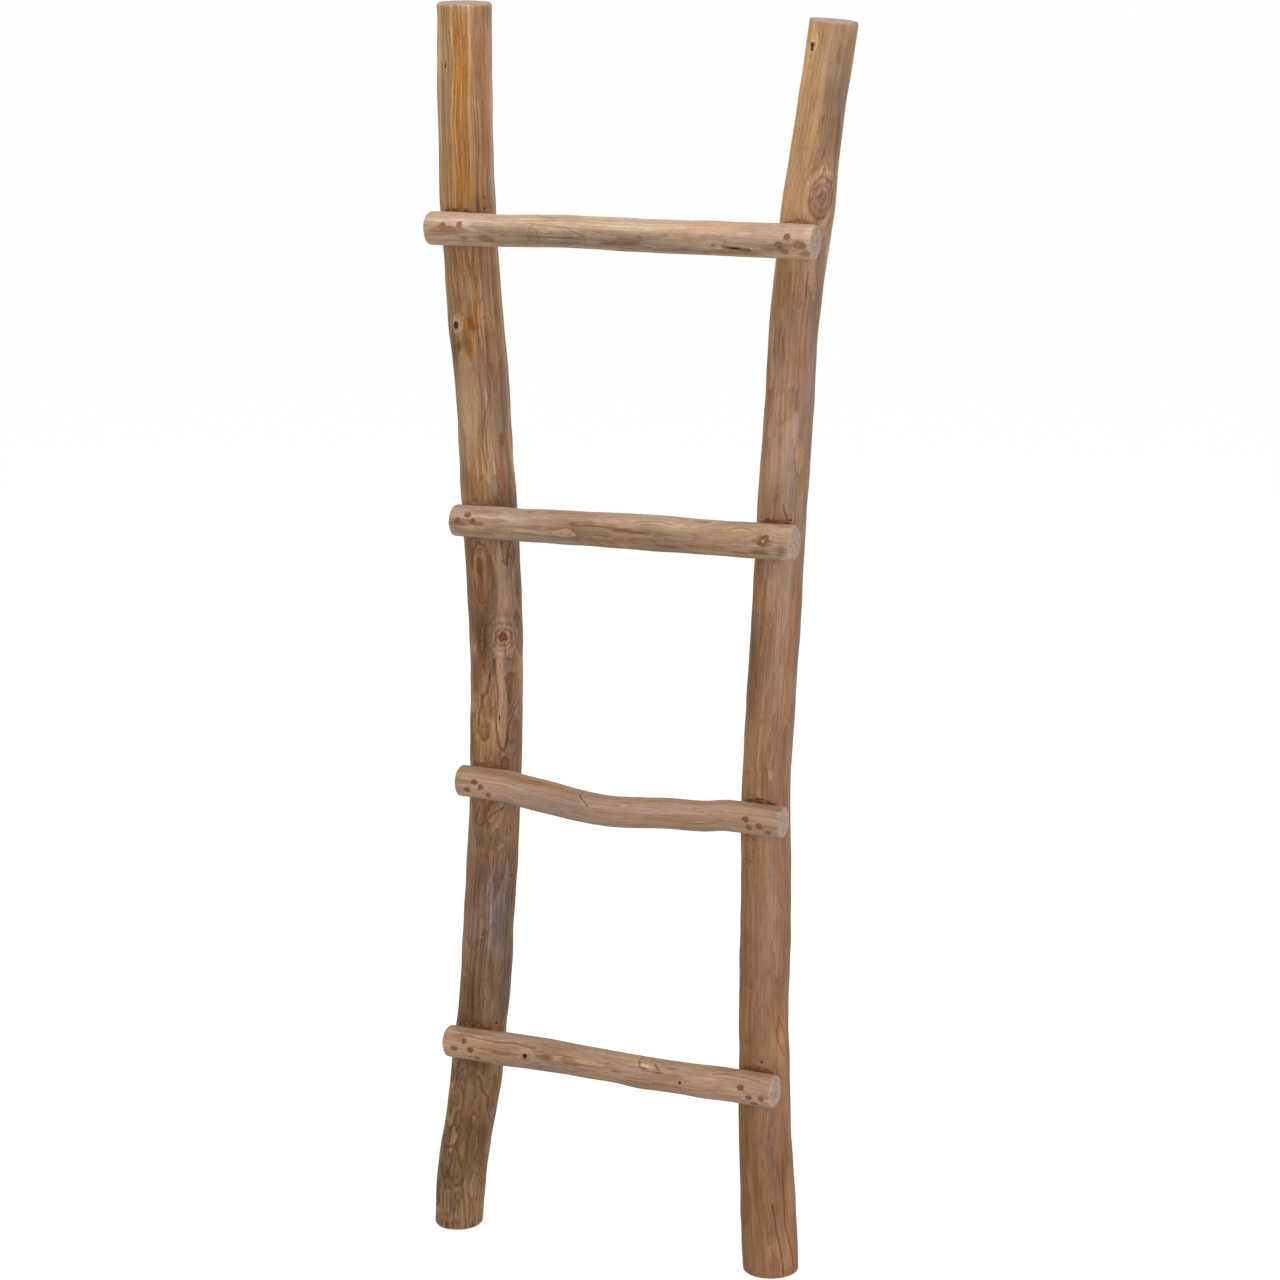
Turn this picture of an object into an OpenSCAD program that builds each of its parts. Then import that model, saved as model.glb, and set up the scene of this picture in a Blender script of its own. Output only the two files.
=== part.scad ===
// Towel ladder of peeled branches: two bent poles and four rungs.
// Each rung lies in a saddle cut in the front of both poles and is held by screws under round plugs.
// +Z runs up the poles, -Y faces the front where the rungs lie, +X is to the right.

/* [Poles] */
// Height of the left pole
left_pole_h = 1505; // [1440:5:1620]
// Height of the right pole, at the middle of its sawn top
right_pole_h = 1496; // [1440:5:1620]
// Distance between the poles before their bends are added
pole_spacing = 370; // [340:5:460]
// Diameter of the left pole
left_pole_d = 62; // [56:1:70]
// Diameter of the right pole
right_pole_d = 58; // [54:1:66]
// Sideways bend of the poles
pole_bow = 50; // [10:1:60]
// Fore-and-aft bend of the poles
pole_sway = 5; // [1:0.5:8]
// Edge break round the sawn ends of the poles
pole_edge = 1.5; // [0.5:0.5:3]

/* [Rungs] */
// Height of rung 1, the top one, where it crosses the left pole
rung_1_h = 1250; // [1150:1:1330]
// Height of rung 2 where it crosses the left pole
rung_2_h = 907.5; // [830:0.5:1000]
// Height of rung 3 where it crosses the left pole
rung_3_h = 588; // [500:1:670]
// Height of rung 4 where it crosses the left pole
rung_4_h = 253.5; // [180:0.5:330]
// Rise of rung 1 from the left pole to the right one
rung_1_rise = 6; // [-12:0.5:12]
// Rise of rung 2
rung_2_rise = 4.5; // [-12:0.5:12]
// Rise of rung 3
rung_3_rise = -9; // [-12:0.5:12]
// Rise of rung 4
rung_4_rise = -5; // [-12:0.5:12]
// Diameter of rung 1
rung_1_d = 38; // [34:0.5:44]
// Diameter of rung 2
rung_2_d = 40; // [34:0.5:44]
// Diameter of rung 3
rung_3_d = 37.5; // [34:0.5:44]
// Diameter of rung 4
rung_4_d = 39; // [34:0.5:44]
// Sag of the rungs' bends
rung_bow = 10; // [2:0.5:13]
// Edge rounding at the rungs' ends
rung_edge = 3; // [1:0.5:5]

/* [Rung ends] */
// Rung 1 reaches this far past the left pole's axis
reach_1_left = 32; // [26:0.5:50]
// Rung 1 reaches this far past the right pole's axis
reach_1_right = 30; // [26:0.5:50]
// Rung 2, left
reach_2_left = 26; // [24:0.5:50]
// Rung 2, right
reach_2_right = 32.5; // [26:0.5:50]
// Rung 3, left
reach_3_left = 28.5; // [26:0.5:50]
// Rung 3, right
reach_3_right = 37.5; // [30:0.5:50]
// Rung 4, left
reach_4_left = 25; // [24:0.5:50]
// Rung 4, right
reach_4_right = 31; // [26:0.5:50]

/* [Saddles] */
// Depth of each saddle in the pole's front
saddle_depth = 8.5; // [6:0.5:11]
// Gap between a rung and its saddle
saddle_gap = 0.4; // [0.3:0.05:0.8]
// Extra height of the saddle above the rung, packed with filler
lip_above = 6; // [3:0.5:8]
// Extra height of the saddle below the rung, packed with filler
lip_below = 2; // [1:0.5:4]
// Filler stays this far below the pole's surface
filler_recess = 0.8; // [0.5:0.1:2]
// Gap between the filler and the wood round it
filler_gap = 0.1; // [0.05:0.05:0.2]

/* [Screws and plugs] */
// Diameter of the round plugs over the screw heads
plug_d = 7; // [6.5:0.1:7.4]
// Depth of the plugs below the rung's surface
plug_depth = 7; // [5:0.5:9]
// Gap between a plug and its hole, per side
plug_gap = 0.05; // [0.05:0.05:0.15]
// Shank diameter of the screws
screw_d = 3.8; // [3:0.1:4]
// Length of the screws under the head
screw_l = 48; // [42:1:52]
// Diameter of the screw heads
head_d = 6; // [5:0.1:6.3]
// Height of the screw heads
head_h = 2.4; // [1.6:0.1:3]
// Gap between a screw's shank and its hole, per side
shank_gap = 0.1; // [0.05:0.05:0.2]
// Length of the screws' tapered point
tip_h = 6; // [4:0.5:10]
// Width across the square driver recess in the head
recess_w = 2.4; // [2:0.1:2.8]
// Depth of the driver recess
recess_h = 1.4; // [0.8:0.1:1.5]
// Holes run this far past the screws' points
hole_end = 1; // [0.5:0.5:3]
// Screws lean in to this share of their side offset at the pole's axis
screw_lean = 0.5; // [0.45:0.05:0.7]

/* [Hidden] */

left = 0;
right = 1;
sides = 24;
pole_rings = 34;
rung_rings = 26;
round_steps = 3;
over = 10;
foot_level = 60;

pole_h = [left_pole_h, right_pole_h];
pole_d = [left_pole_d, right_pole_d];
rung_h = [rung_1_h, rung_2_h, rung_3_h, rung_4_h];
rung_rise = [rung_1_rise, rung_2_rise, rung_3_rise, rung_4_rise];
rung_d = [rung_1_d, rung_2_d, rung_3_d, rung_4_d];
reach = [
    [reach_1_left, reach_1_right], [reach_2_left, reach_2_right],
    [reach_3_left, reach_3_right], [reach_4_left, reach_4_right]
];

// Growth of each pole: share of its height, shares of its bow and its sway, girth
pole_growth = [
    [
        [0.00, -0.87, -1.74, 0.955], [0.04, -0.80, -1.2, 0.975], [0.10, -0.53, -0.4, 1.00],
        [0.18, -0.22, -0.1, 1.015], [0.27, 0.01, -0.2, 0.995], [0.35, 0.20, -0.6, 1.00],
        [0.42, 0.30, -0.8, 0.995], [0.52, 0.31, -0.8, 1.03], [0.62, 0.15, -0.4, 1.045],
        [0.69, 0.03, 0, 1.015], [0.76, -0.16, 0.4, 1.04], [0.84, -0.31, 0.6, 1.035],
        [0.92, -0.37, 0.8, 1.025], [1.00, -0.36, 0.6, 1.025]
    ],
    [
        [0.00, -0.08, 1.26, 1.15], [0.06, -0.12, 0.5, 1.145], [0.13, -0.20, 0.1, 1.075],
        [0.22, -0.22, 0, 1.03], [0.33, -0.22, 0.6, 1.035], [0.41, -0.24, 1.0, 0.995],
        [0.48, -0.14, 1.0, 1.005], [0.55, -0.01, 0.8, 0.985], [0.63, 0.12, 0.4, 0.98],
        [0.71, 0.28, 0, 0.985], [0.78, 0.42, -0.4, 0.98], [0.82, 0.55, -0.4, 1.00],
        [0.86, 0.70, -0.4, 1.045], [0.90, 0.86, -0.4, 0.94], [0.95, 1.05, 0, 0.92], [1.00, 1.26, 0.4, 0.925]
    ]
];

// Growth of each rung: share of the way between the poles, shares of its bow upwards and backwards, girth
rung_growth = [
    [
        [0.09, 0, 0, 1.00], [0.20, 0.08, -0.10, 0.98], [0.33, 0.20, -0.20, 0.99], [0.48, 0.14, -0.20, 1.01],
        [0.64, 0.03, -0.15, 1.00], [0.77, 0.04, -0.05, 1.03], [0.91, 0, 0, 1.04]
    ],
    [
        [0.09, 0, 0, 0.955], [0.17, -0.12, 0.05, 0.94], [0.26, -0.06, 0.10, 0.98], [0.35, 0, 0.15, 1.01],
        [0.48, 0.06, 0.15, 1.02], [0.75, 0, 0.05, 1.025], [0.91, 0, 0, 1.025]
    ],
    [
        [0.09, 0, 0, 1.00], [0.16, -0.38, -0.05, 1.01], [0.25, -0.70, -0.15, 1.04],
        [0.34, -1.01, -0.25, 1.015], [0.43, -1.24, -0.30, 0.99], [0.50, -1.23, -0.30, 0.98],
        [0.60, -0.98, -0.25, 0.965], [0.70, -0.68, -0.15, 0.97], [0.82, -0.45, -0.05, 0.98],
        [0.91, 0, 0, 0.985]
    ],
    [
        [0.09, 0, 0, 1.01], [0.15, 0, 0.05, 1.05], [0.28, 0.04, 0.10, 1.04], [0.37, 0, 0.15, 0.995],
        [0.45, -0.08, 0.20, 0.98], [0.53, -0.12, 0.20, 0.965], [0.62, -0.24, 0.15, 1.005],
        [0.68, -0.20, 0.10, 0.97], [0.76, -0.12, 0.05, 0.965], [0.83, -0.10, 0, 0.995], [0.91, 0, 0, 1.03]
    ]
];

// Plug places on each rung's front, at its left joint and then its right one, in rung radii:
// sideways from the pole's axis, and up from the rung's
plug_spots = [
    [
        [[-0.32, 0.26], [0.37, -0.05], [0.82, 0.37], [1.10, -0.47]],
        [[-0.40, -0.10], [-0.10, -0.46], [0.05, 0.40], [0.66, -0.05]]
    ],
    [[[-0.68, 0.18], [-0.05, 0.55], [0.34, 0.18]], [[0.05, 0.22]]],
    [
        [[-0.08, 0.29], [0.37, 0], [-0.59, -0.27], [0.85, -0.48]],
        [[-0.24, 0.22], [-0.03, -0.30], [0.68, -0.11], [1.22, -0.49]]
    ],
    [
        [[0.25, 0.46], [-0.41, -0.10], [0.71, -0.03], [1.12, -0.56]],
        [[-0.37, 0.32], [0.15, -0.23], [0.45, -0.62], [0.92, -0.20]]
    ]
];

// Last row of a table whose first column isn't past t
function row_at(tab, t, i = 0) = (i >= len(tab) - 2 || t < tab[i + 1][0]) ? i : row_at(tab, t, i + 1);

// Slope of column c at row i, with the end rows' slopes scaled by ends
function slope_at(tab, i, c, ends) =
    let (a = max(i - 1, 0), b = min(i + 1, len(tab) - 1), e = (i == 0 || i == len(tab) - 1) ? ends : 1)
    e * (tab[b][c] - tab[a][c]) / (tab[b][0] - tab[a][0]);

// Smooth curve through column c of a table, flat beyond its first and last rows
function curve(tab, t, c, ends) =
    let (
        i = row_at(tab, t), h = tab[i + 1][0] - tab[i][0], u = min(max((t - tab[i][0]) / h, 0), 1),
        a = tab[i][c], b = tab[i + 1][c],
        ma = slope_at(tab, i, c, ends) * h, mb = slope_at(tab, i + 1, c, ends) * h
    )
    a * (1 + 2 * u) * (1 - u) * (1 - u) + ma * u * (1 - u) * (1 - u)
    + b * u * u * (3 - 2 * u) + mb * u * u * (u - 1);

function unit(v) = v / norm(v);

// Axis point and radius of pole s at height z
function raw_pole(s, z) = let (t = z / pole_h[s], g = pole_growth[s]) [
    (s - 0.5) * pole_spacing + pole_bow * curve(g, t, 1, 1), pole_sway * curve(g, t, 2, 1), z
];
function pole_r(s, z) = pole_d[s] / 2 * curve(pole_growth[s], z / pole_h[s], 3, 1);
function raw_lean(s, z) = unit(raw_pole(s, z + 1) - raw_pole(s, z - 1));

// Radius of rung i at share t of the way, and the height at which it crosses pole s
function rung_r(i, t) = rung_d[i] / 2 * curve(rung_growth[i], t, 3, 0);
function cross_h(i, s) = rung_h[i] + s * rung_rise[i];

// Rung i's axis where it crosses pole s, set back into the pole by the saddle
function raw_cross(i, s) = let (z = cross_h(i, s), p = raw_pole(s, z))
    [p.x, p.y - pole_r(s, z) - rung_r(i, s) + saddle_depth, z];

// Axis point of rung i at share t: 0 over the left pole, 1 over the right one
function raw_rung(i, t) = let (a = raw_cross(i, left), b = raw_cross(i, right), g = rung_growth[i])
    a + (b - a) * t + rung_bow * [0, curve(g, t, 2, 0), curve(g, t, 1, 0)];
function rung_span(i) = raw_cross(i, right).x - raw_cross(i, left).x;
function rung_start(i) = -reach[i][left] / rung_span(i);
function rung_end(i) = 1 + reach[i][right] / rung_span(i);

// Rings of a pole, square to its axis but level at the foot, with a broken edge at both ends
function pole_ring(s, z, inset) =
    let (
        lean = unit([0, 0, 1] + (raw_lean(s, z) - [0, 0, 1]) * min(z / foot_level, 1)),
        u = unit([1, 0, 0] - lean * lean.x), v = cross(lean, u), c = raw_pole(s, z), r = pole_r(s, z) - inset
    )
    [for (k = [0:sides - 1]) c + r * cos(360 * k / sides) * u + r * sin(360 * k / sides) * v];
function pole_rings_of(s) = let (h = pole_h[s]) concat(
    [pole_ring(s, 0, pole_edge)],
    [for (k = [0:pole_rings]) pole_ring(s, pole_edge + (h - 2 * pole_edge) * k / pole_rings, 0)],
    [pole_ring(s, h, pole_edge)]
);

// Rings of a rung, upright, with quarter-round edges at both ends
function rung_ring(i, x, inset) =
    let (t = x / rung_span(i), c = raw_rung(i, t), r = rung_r(i, t) - inset)
    [for (k = [0:sides - 1]) [c.x, c.y + r * cos(360 * k / sides), c.z + r * sin(360 * k / sides)]];
function rung_rings_of(i) =
    let (a = rung_start(i) * rung_span(i), b = rung_end(i) * rung_span(i), q = 90 / round_steps)
    concat(
        [for (k = [0:round_steps - 1])
            rung_ring(i, a + rung_edge * (1 - cos(q * k)), rung_edge * (1 - sin(q * k)))],
        [for (k = [0:rung_rings]) rung_ring(i, a + rung_edge + (b - a - 2 * rung_edge) * k / rung_rings, 0)],
        [for (k = [round_steps - 1:-1:0])
            rung_ring(i, b - rung_edge * (1 - cos(q * k)), rung_edge * (1 - sin(q * k)))]
    );

// The origin is at the foot, in the middle of the ladder's width and depth
hull_points = concat(
    [for (s = [left, right]) for (ring = pole_rings_of(s)) for (p = ring) p],
    [for (i = [0:3]) for (ring = rung_rings_of(i)) for (p = ring) p]
);
xs = [for (p = hull_points) p.x];
ys = [for (p = hull_points) p.y];
middle = [(min(xs) + max(xs)) / 2, (min(ys) + max(ys)) / 2, 0];

function pole_at(s, z) = raw_pole(s, z) - middle;
function rung_at(i, t) = raw_rung(i, t) - middle;
function centred(rings) = [for (ring = rings) [for (p = ring) p - middle]];

// Where a plug meets the rung's front, and the way its screw points
function plug_top(i, s, spot) = let (c = rung_at(i, s), r = rung_r(i, s))
    c + r * [spot.x, -sqrt(1 - spot.y * spot.y), spot.y];
function screw_way(i, s, spot) = let (p = pole_at(s, cross_h(i, s)), r = rung_r(i, s))
    unit(p + screw_lean * r * [spot.x, 0, spot.y] - plug_top(i, s, spot));

module sweep(rings) {
    n = len(rings);
    m = len(rings[0]);
    polyhedron(
        points = [for (ring = rings) for (p = ring) p],
        faces = concat(
            [[for (k = [0:m - 1]) k]],
            [for (j = [0:n - 2]) for (k = [0:m - 1])
                [j * m + k, (j + 1) * m + k, (j + 1) * m + (k + 1) % m, j * m + (k + 1) % m]],
            [[for (k = [m - 1:-1:0]) (n - 1) * m + k]]
        )
    );
}

// Turns +Z to point along way, at place p
module along(p, way) {
    translate(p) rotate([0, acos(way.z), atan2(way.y, way.x)]) children();
}

// Round bar along rung i's axis where it crosses pole s, raised by up
module cross_bar(i, s, r, up = 0) {
    half = pole_r(s, cross_h(i, s)) / rung_span(i);
    a = rung_at(i, s - half);
    way = unit(rung_at(i, s + half) - a);
    l = 2 * half * rung_span(i) + 4 * over;
    along(rung_at(i, s) + [0, 0, up] - way * l / 2, way) cylinder(h = l, r = r, $fn = 48);
}

// Holes of the screws of rung i into pole s, a little deeper than the screws
module screw_holes(i, s) {
    for (spot = plug_spots[i][s])
        along(plug_top(i, s, spot), screw_way(i, s, spot))
            cylinder(h = plug_depth + head_h + screw_l + hole_end, d = screw_d + 2 * shank_gap, $fn = 24);
}

module pole(s) {
    difference() {
        sweep(centred(pole_rings_of(s)));
        for (i = [0:3]) {
            r = rung_r(i, s) + saddle_gap;
            cross_bar(i, s, r);
            cross_bar(i, s, r, lip_above);
            cross_bar(i, s, r, -lip_below);
            screw_holes(i, s);
        }
    }
}

module rung(i) {
    difference() {
        sweep(centred(rung_rings_of(i)));
        for (s = [left, right]) {
            screw_holes(i, s);
            for (spot = plug_spots[i][s]) {
                way = screw_way(i, s, spot);
                along(plug_top(i, s, spot) - way * over, way)
                    cylinder(h = over + plug_depth + head_h, d = plug_d, $fn = 24);
            }
        }
    }
}

module screw() {
    difference() {
        union() {
            cylinder(h = head_h, d = head_d, $fn = 24);
            cylinder(h = head_h + screw_l - tip_h, d = screw_d, $fn = 24);
            translate([0, 0, head_h + screw_l - tip_h])
                cylinder(h = tip_h, d1 = screw_d, d2 = screw_d / 6, $fn = 24);
        }
        translate([-recess_w / 2, -recess_w / 2, -over]) cube([recess_w, recess_w, over + recess_h]);
    }
}

module screws(i, s) {
    for (spot = plug_spots[i][s]) {
        way = screw_way(i, s, spot);
        along(plug_top(i, s, spot) + way * plug_depth, way) screw();
    }
}

// Each plug ends flush with the rung's round front
module plugs(i, s) {
    for (spot = plug_spots[i][s]) intersection() {
        along(plug_top(i, s, spot) - screw_way(i, s, spot) * over, screw_way(i, s, spot))
            cylinder(h = over + plug_depth, d = plug_d - 2 * plug_gap, $fn = 24);
        cross_bar(i, s, rung_r(i, s));
    }
}

// Two strips of filler that pack the saddle above and below the rung
module joint_filler(i, s) {
    z = cross_h(i, s);
    r = rung_r(i, s) + saddle_gap;
    l = pole_r(s, z) + 2 * over;
    lean = unit(pole_at(s, z + r) - pole_at(s, z - r));
    for (lip = [lip_above, -lip_below]) difference() {
        intersection() {
            along(pole_at(s, z) - lean * l, lean)
                cylinder(h = 2 * l, r = pole_r(s, z) - filler_recess, $fn = 64);
            cross_bar(i, s, r - filler_gap, lip);
        }
        cross_bar(i, s, r);
        screw_holes(i, s);
        translate(rung_at(i, s) - [l, l, lip > 0 ? 2 * l : 0]) cube(2 * l);
    }
}

module left_pole() { color("#94714f") pole(left); }
module right_pole() { color("#a07a55") pole(right); }

left_pole();
right_pole();
for (i = [0:3]) {
    color("#c8a582") rung(i);
    for (s = [left, right]) {
        joint = str(i + 1, "_", s == left ? "left" : "right");
        color("#8d8f92") screws(i, s);
        color("#7d5f41") plugs(i, s);
        color("#6b4a2c") joint_filler(i, s);
    }
}
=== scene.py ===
import math
import bpy
import numpy as np
from mathutils import Matrix, Vector


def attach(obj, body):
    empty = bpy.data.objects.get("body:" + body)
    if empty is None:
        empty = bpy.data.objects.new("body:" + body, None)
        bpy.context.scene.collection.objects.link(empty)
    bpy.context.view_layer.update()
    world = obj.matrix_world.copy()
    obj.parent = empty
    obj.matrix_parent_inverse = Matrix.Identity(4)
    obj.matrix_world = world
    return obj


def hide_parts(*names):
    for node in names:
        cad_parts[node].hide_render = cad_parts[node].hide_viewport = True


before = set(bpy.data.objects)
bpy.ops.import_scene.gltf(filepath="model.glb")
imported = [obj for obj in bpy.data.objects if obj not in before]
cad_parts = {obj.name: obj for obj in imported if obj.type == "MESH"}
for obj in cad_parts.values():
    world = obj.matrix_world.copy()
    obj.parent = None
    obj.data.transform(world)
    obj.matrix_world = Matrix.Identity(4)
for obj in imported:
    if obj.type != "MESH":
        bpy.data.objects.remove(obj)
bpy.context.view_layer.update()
scene = bpy.context.scene
scene.view_settings.view_transform = "Standard"
print("frame loaded")

# The photograph's view: lens and sensor in millimetres, place and clipping in metres, angles in degrees
view = {"lens": 99.64, "sensor": 36, "clip": (0.1, 100), "place": (1.5468, -3.7185, 1.7890),
        "turn": 22.425, "down": 14.156, "roll": -0.143}


# An object for a mesh, lamp or camera, linked to the scene
def newObject(name, data):
    made = bpy.data.objects.new(name, data)
    scene.collection.objects.link(made)
    return made


# Camera whose axes come from the view's turn about the upright, its tilt down and its roll
def makeCamera():
    turn, down, roll = (math.radians(view[key]) for key in ("turn", "down", "roll"))
    forward = Vector((-math.sin(turn) * math.cos(down), math.cos(turn) * math.cos(down), -math.sin(down)))
    right = Vector((math.cos(turn), math.sin(turn), 0))
    up = right.cross(forward)
    axes = (right * math.cos(roll) + up * math.sin(roll), up * math.cos(roll) - right * math.sin(roll), -forward)
    data = bpy.data.cameras.new("camera")
    data.lens, data.sensor_width = view["lens"], view["sensor"]
    data.clip_start, data.clip_end = view["clip"]
    scene.camera = newObject("camera", data)
    scene.camera.matrix_world = Matrix.Translation(view["place"]) @ Matrix(axes).transposed().to_4x4()


makeCamera()
print("camera placed")

# Shapes are worked out in millimetres and moved by this much, to centre the ladder's width and depth
middle = np.array([8.157, -12.702, 0])
joints = {"saddleDepth": 8.5, "saddleGap": 0.4, "lipAbove": 6, "lipBelow": 2, "lipWobble": 1.1, "lowerWobble": 0.44,
          "lipWaves": ((0.31, 1, 1), (0.83, 2, 0.6)), "tries": 4, "frontWay": -0.2}
sides = ("left", "right")


# Smooth step: 0 below low, 1 above high, and three times the square less twice the cube between
def ease(value, low, high):
    share = np.clip((value - low) / (high - low), 0, 1)
    return share * share * (3 - 2 * share)


# Bell-shaped fall from 1 in the middle: e to the power of minus the square
def bell(reach, steepness=1.2):
    return np.exp(-steepness * reach * reach)


# Vectors divided by their lengths
def unit(vectors):
    return vectors / np.linalg.norm(vectors, axis=-1, keepdims=True)


# Smallest signed difference between two angles in degrees
def turnGap(a, b):
    return (a - b + 180) % 360 - 180


# Smooth curve through one column of a table: cubic pieces, each row's slope that from the row before to the row after
def smoothColumn(table, column, share, endSlope):
    rows = np.array(table, float)
    x, y = rows[:, 0], rows[:, column]
    before, after = np.maximum(np.arange(len(x)) - 1, 0), np.minimum(np.arange(len(x)) + 1, len(x) - 1)
    slope = (y[after] - y[before]) / (x[after] - x[before])
    slope[[0, -1]] *= endSlope
    i = np.clip(np.searchsorted(x, share, side="right") - 1, 0, len(x) - 2)
    step = x[i + 1] - x[i]
    u = np.clip((share - x[i]) / step, 0, 1)
    return (y[i] * (1 + 2 * u) * (1 - u) ** 2 + slope[i] * step * u * (1 - u) ** 2
            + y[i + 1] * u * u * (3 - 2 * u) + slope[i + 1] * step * u * u * (u - 1))


# Sum of cosines, each with a whole number of swings round the piece and a random length along it;
# it is scaled to a standard deviation of 1
def waves(turn, along, seed, swings, length, count=22, fewest=0):
    draw = np.random.default_rng(seed)
    total = np.zeros(np.broadcast(turn, along).shape)
    for _ in range(count):
        around, lengthwise, phase = draw.integers(fewest, swings + 1), draw.uniform(-1, 1) / length, draw.uniform(0, 2)
        total += np.cos(np.radians(around * turn) + 2 * math.pi * lengthwise * along + math.pi * phase)
    return total / math.sqrt(count / 2)


# Distance from the middle of an oval (angle, place along, half width, half length), 1 at its rim
def ovalReach(turn, along, oval):
    return np.hypot(turnGap(turn, oval[0]) / oval[2], (along - oval[1]) / oval[3])


# Strongest of a list of soft ovals: full up to 0.6 of the way to the rim, gone at 1.4
def patchField(patches, turn, along):
    total = np.zeros(turn.shape)
    for patch in patches:
        total = np.maximum(total, patch[4] * ease(1.4 - ovalReach(turn, along, patch), 0, 0.8))
    return total


# Sum of bell-shaped hills
def hillField(hills, turn, along):
    total = np.zeros(turn.shape)
    for hill in hills:
        total += hill[4] * bell(ovalReach(turn, along, hill))
    return total


# Distance over the surface, in millimetres, to the nearest of some drawn paths, less the path's half width
def pathField(paths, turn, along, radius, far=30.0):
    nearest = np.full(turn.shape, far)
    arc = math.pi / 180 * radius
    for width, points in paths:
        for (turnA, alongA), (turnB, alongB) in zip(points, points[1:]):
            x, y = turnGap(turn, turnA) * arc, along - alongA
            dx, dy = turnGap(turnB, turnA) * arc, alongB - alongA
            share = np.clip((x * dx + y * dy) / (dx * dx + dy * dy), 0, 1)
            nearest = np.minimum(nearest, np.hypot(x - share * dx, y - share * dy) - width)
    return nearest


# How far inside the nearest small oval (angle, place along, width and length in millimetres) a point is:
# 1 in its middle, 0 at its rim
def spotField(spots, turn, along, radius, far=-3.0):
    inside = np.full(turn.shape, far)
    for atTurn, atAlong, wide, tall in spots:
        aside = turnGap(turn, atTurn) * math.pi / 180 * radius
        inside = np.maximum(inside, 1 - np.hypot(aside / (wide / 2), (along - atAlong) / (tall / 2)))
    return inside


# Distance from the nearest knot's middle, 1 at its rim, and how far the grain is pushed aside, in degrees:
# by four fifths of the way at the knot, and by less with the square of the distance outside it
def knotField(knots, turn, along, far=4.0):
    reach, push = np.full(turn.shape, far), np.zeros(turn.shape)
    for knot in knots:
        reach = np.minimum(reach, ovalReach(turn, along, knot))
        aside, over = turnGap(turn, knot[0]), (along - knot[1]) / knot[3]
        push -= aside / np.maximum(np.hypot(aside / knot[2], over * 0.7), 1) ** 2 * 0.8
    return reach, push


# A closed mesh from shells, each of rings, two end points and vertex values that become attributes.
# A shell whose volume comes out negative is turned round, so that its faces point outwards
def ringMesh(name, shells, sharpAngle=50):
    points, faces, values, start = [], [], {}, 0
    for rings, ends, fields in shells:
        count, around = rings.shape[:2]
        corners = rings.reshape(-1, 3)
        points += [corners, ends]
        j, k = np.arange(count - 1)[:, None] * around, np.arange(around)
        after = (k + 1) % around
        quads = np.stack([j + k, j + after, j + around + after, j + around + k], -1).reshape(-1, 4)
        last, tip = (count - 1) * around, count * around
        lowFan = np.stack([k * 0 + tip, after, k], -1)
        highFan = np.stack([k * 0 + tip + 1, last + k, last + after], -1)
        a, b, c = (corners[quads[:, n]] for n in range(3))
        volume = np.einsum("ij,ij->i", a, np.cross(b, c)).sum()
        for part in (quads, lowFan, highFan):
            faces += ((part[:, ::-1] if volume < 0 else part) + start).tolist()
        for key, (grid, atEnds) in fields.items():
            values.setdefault(key, []).extend([grid.reshape(-1, 3), np.asarray(atEnds, float)])
        start += count * around + 2
    mesh = bpy.data.meshes.new(name)
    mesh.from_pydata((np.concatenate(points) / 1000).tolist(), [], faces)
    for key, parts in values.items():
        mesh.attributes.new(key, "FLOAT_VECTOR", "POINT").data.foreach_set("vector", np.concatenate(parts).ravel())
    mesh.polygons.foreach_set("use_smooth", np.ones(len(faces), bool))
    mesh.set_sharp_from_angle(angle=math.radians(sharpAngle))
    mesh.update()
    return newObject(name, mesh)


# Gives a mesh its material and its place in the model: a node left_pole becomes the piece leftPoleWood
def addPiece(label, shells, material, node):
    words = label.split("_")
    piece = ringMesh(words[0] + "".join(word.capitalize() for word in words[1:]), shells)
    piece.data.materials.append(material)
    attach(piece, "root")
    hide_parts(node)


# Rings of a bar with flat ends and rounded edges: on each ring its place along the bar, the angle of each point,
# the cut from the radius, the share of the radius and the end-grain mask
def barGrid(body, low, high, edge, columns, edgeRings=5, capRings=12, innermost=0.06):
    quarter = np.radians(np.linspace(0, 90, edgeRings + 1))[:-1]
    cap = np.linspace(innermost, 1, capRings + 1)[:-1]
    step = edge * (1 - np.cos(quarter))
    along = np.concatenate([low + 0 * cap, low + step, body, high - step[::-1], high + 0 * cap])
    parts = {"cut": (edge + 0 * cap, edge * (1 - np.sin(quarter)), 0), "share": (cap, 1 + 0 * quarter, 1),
             "end": (1 + 0 * cap, np.cos(quarter) ** 2, 0)}
    bar = {"low": low, "high": high}
    bar["along"], bar["turn"] = np.meshgrid(along, np.arange(columns) * 360 / columns, indexing="ij")
    for key, (onCap, onEdge, onBody) in parts.items():
        rows = np.concatenate([onCap, onEdge, onBody + 0 * body, onEdge[::-1], onCap[::-1]])
        bar[key] = rows[:, None] + 0 * bar["turn"]
    return bar


# Places along a bar, closer together near the given centres, at equal steps of the summed density
def crowded(low, high, centres, count, halfWidth, times, fade=8, steps=6000):
    fine = np.linspace(low, high, steps)
    density = np.ones(fine.shape)
    for centre in centres:
        density += (times - 1) * (1 - ease(np.abs(fine - centre), halfWidth, halfWidth + fade))
    total = np.cumsum(density)
    return np.interp(np.linspace(total[0], total[-1], count), total, fine)


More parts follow.
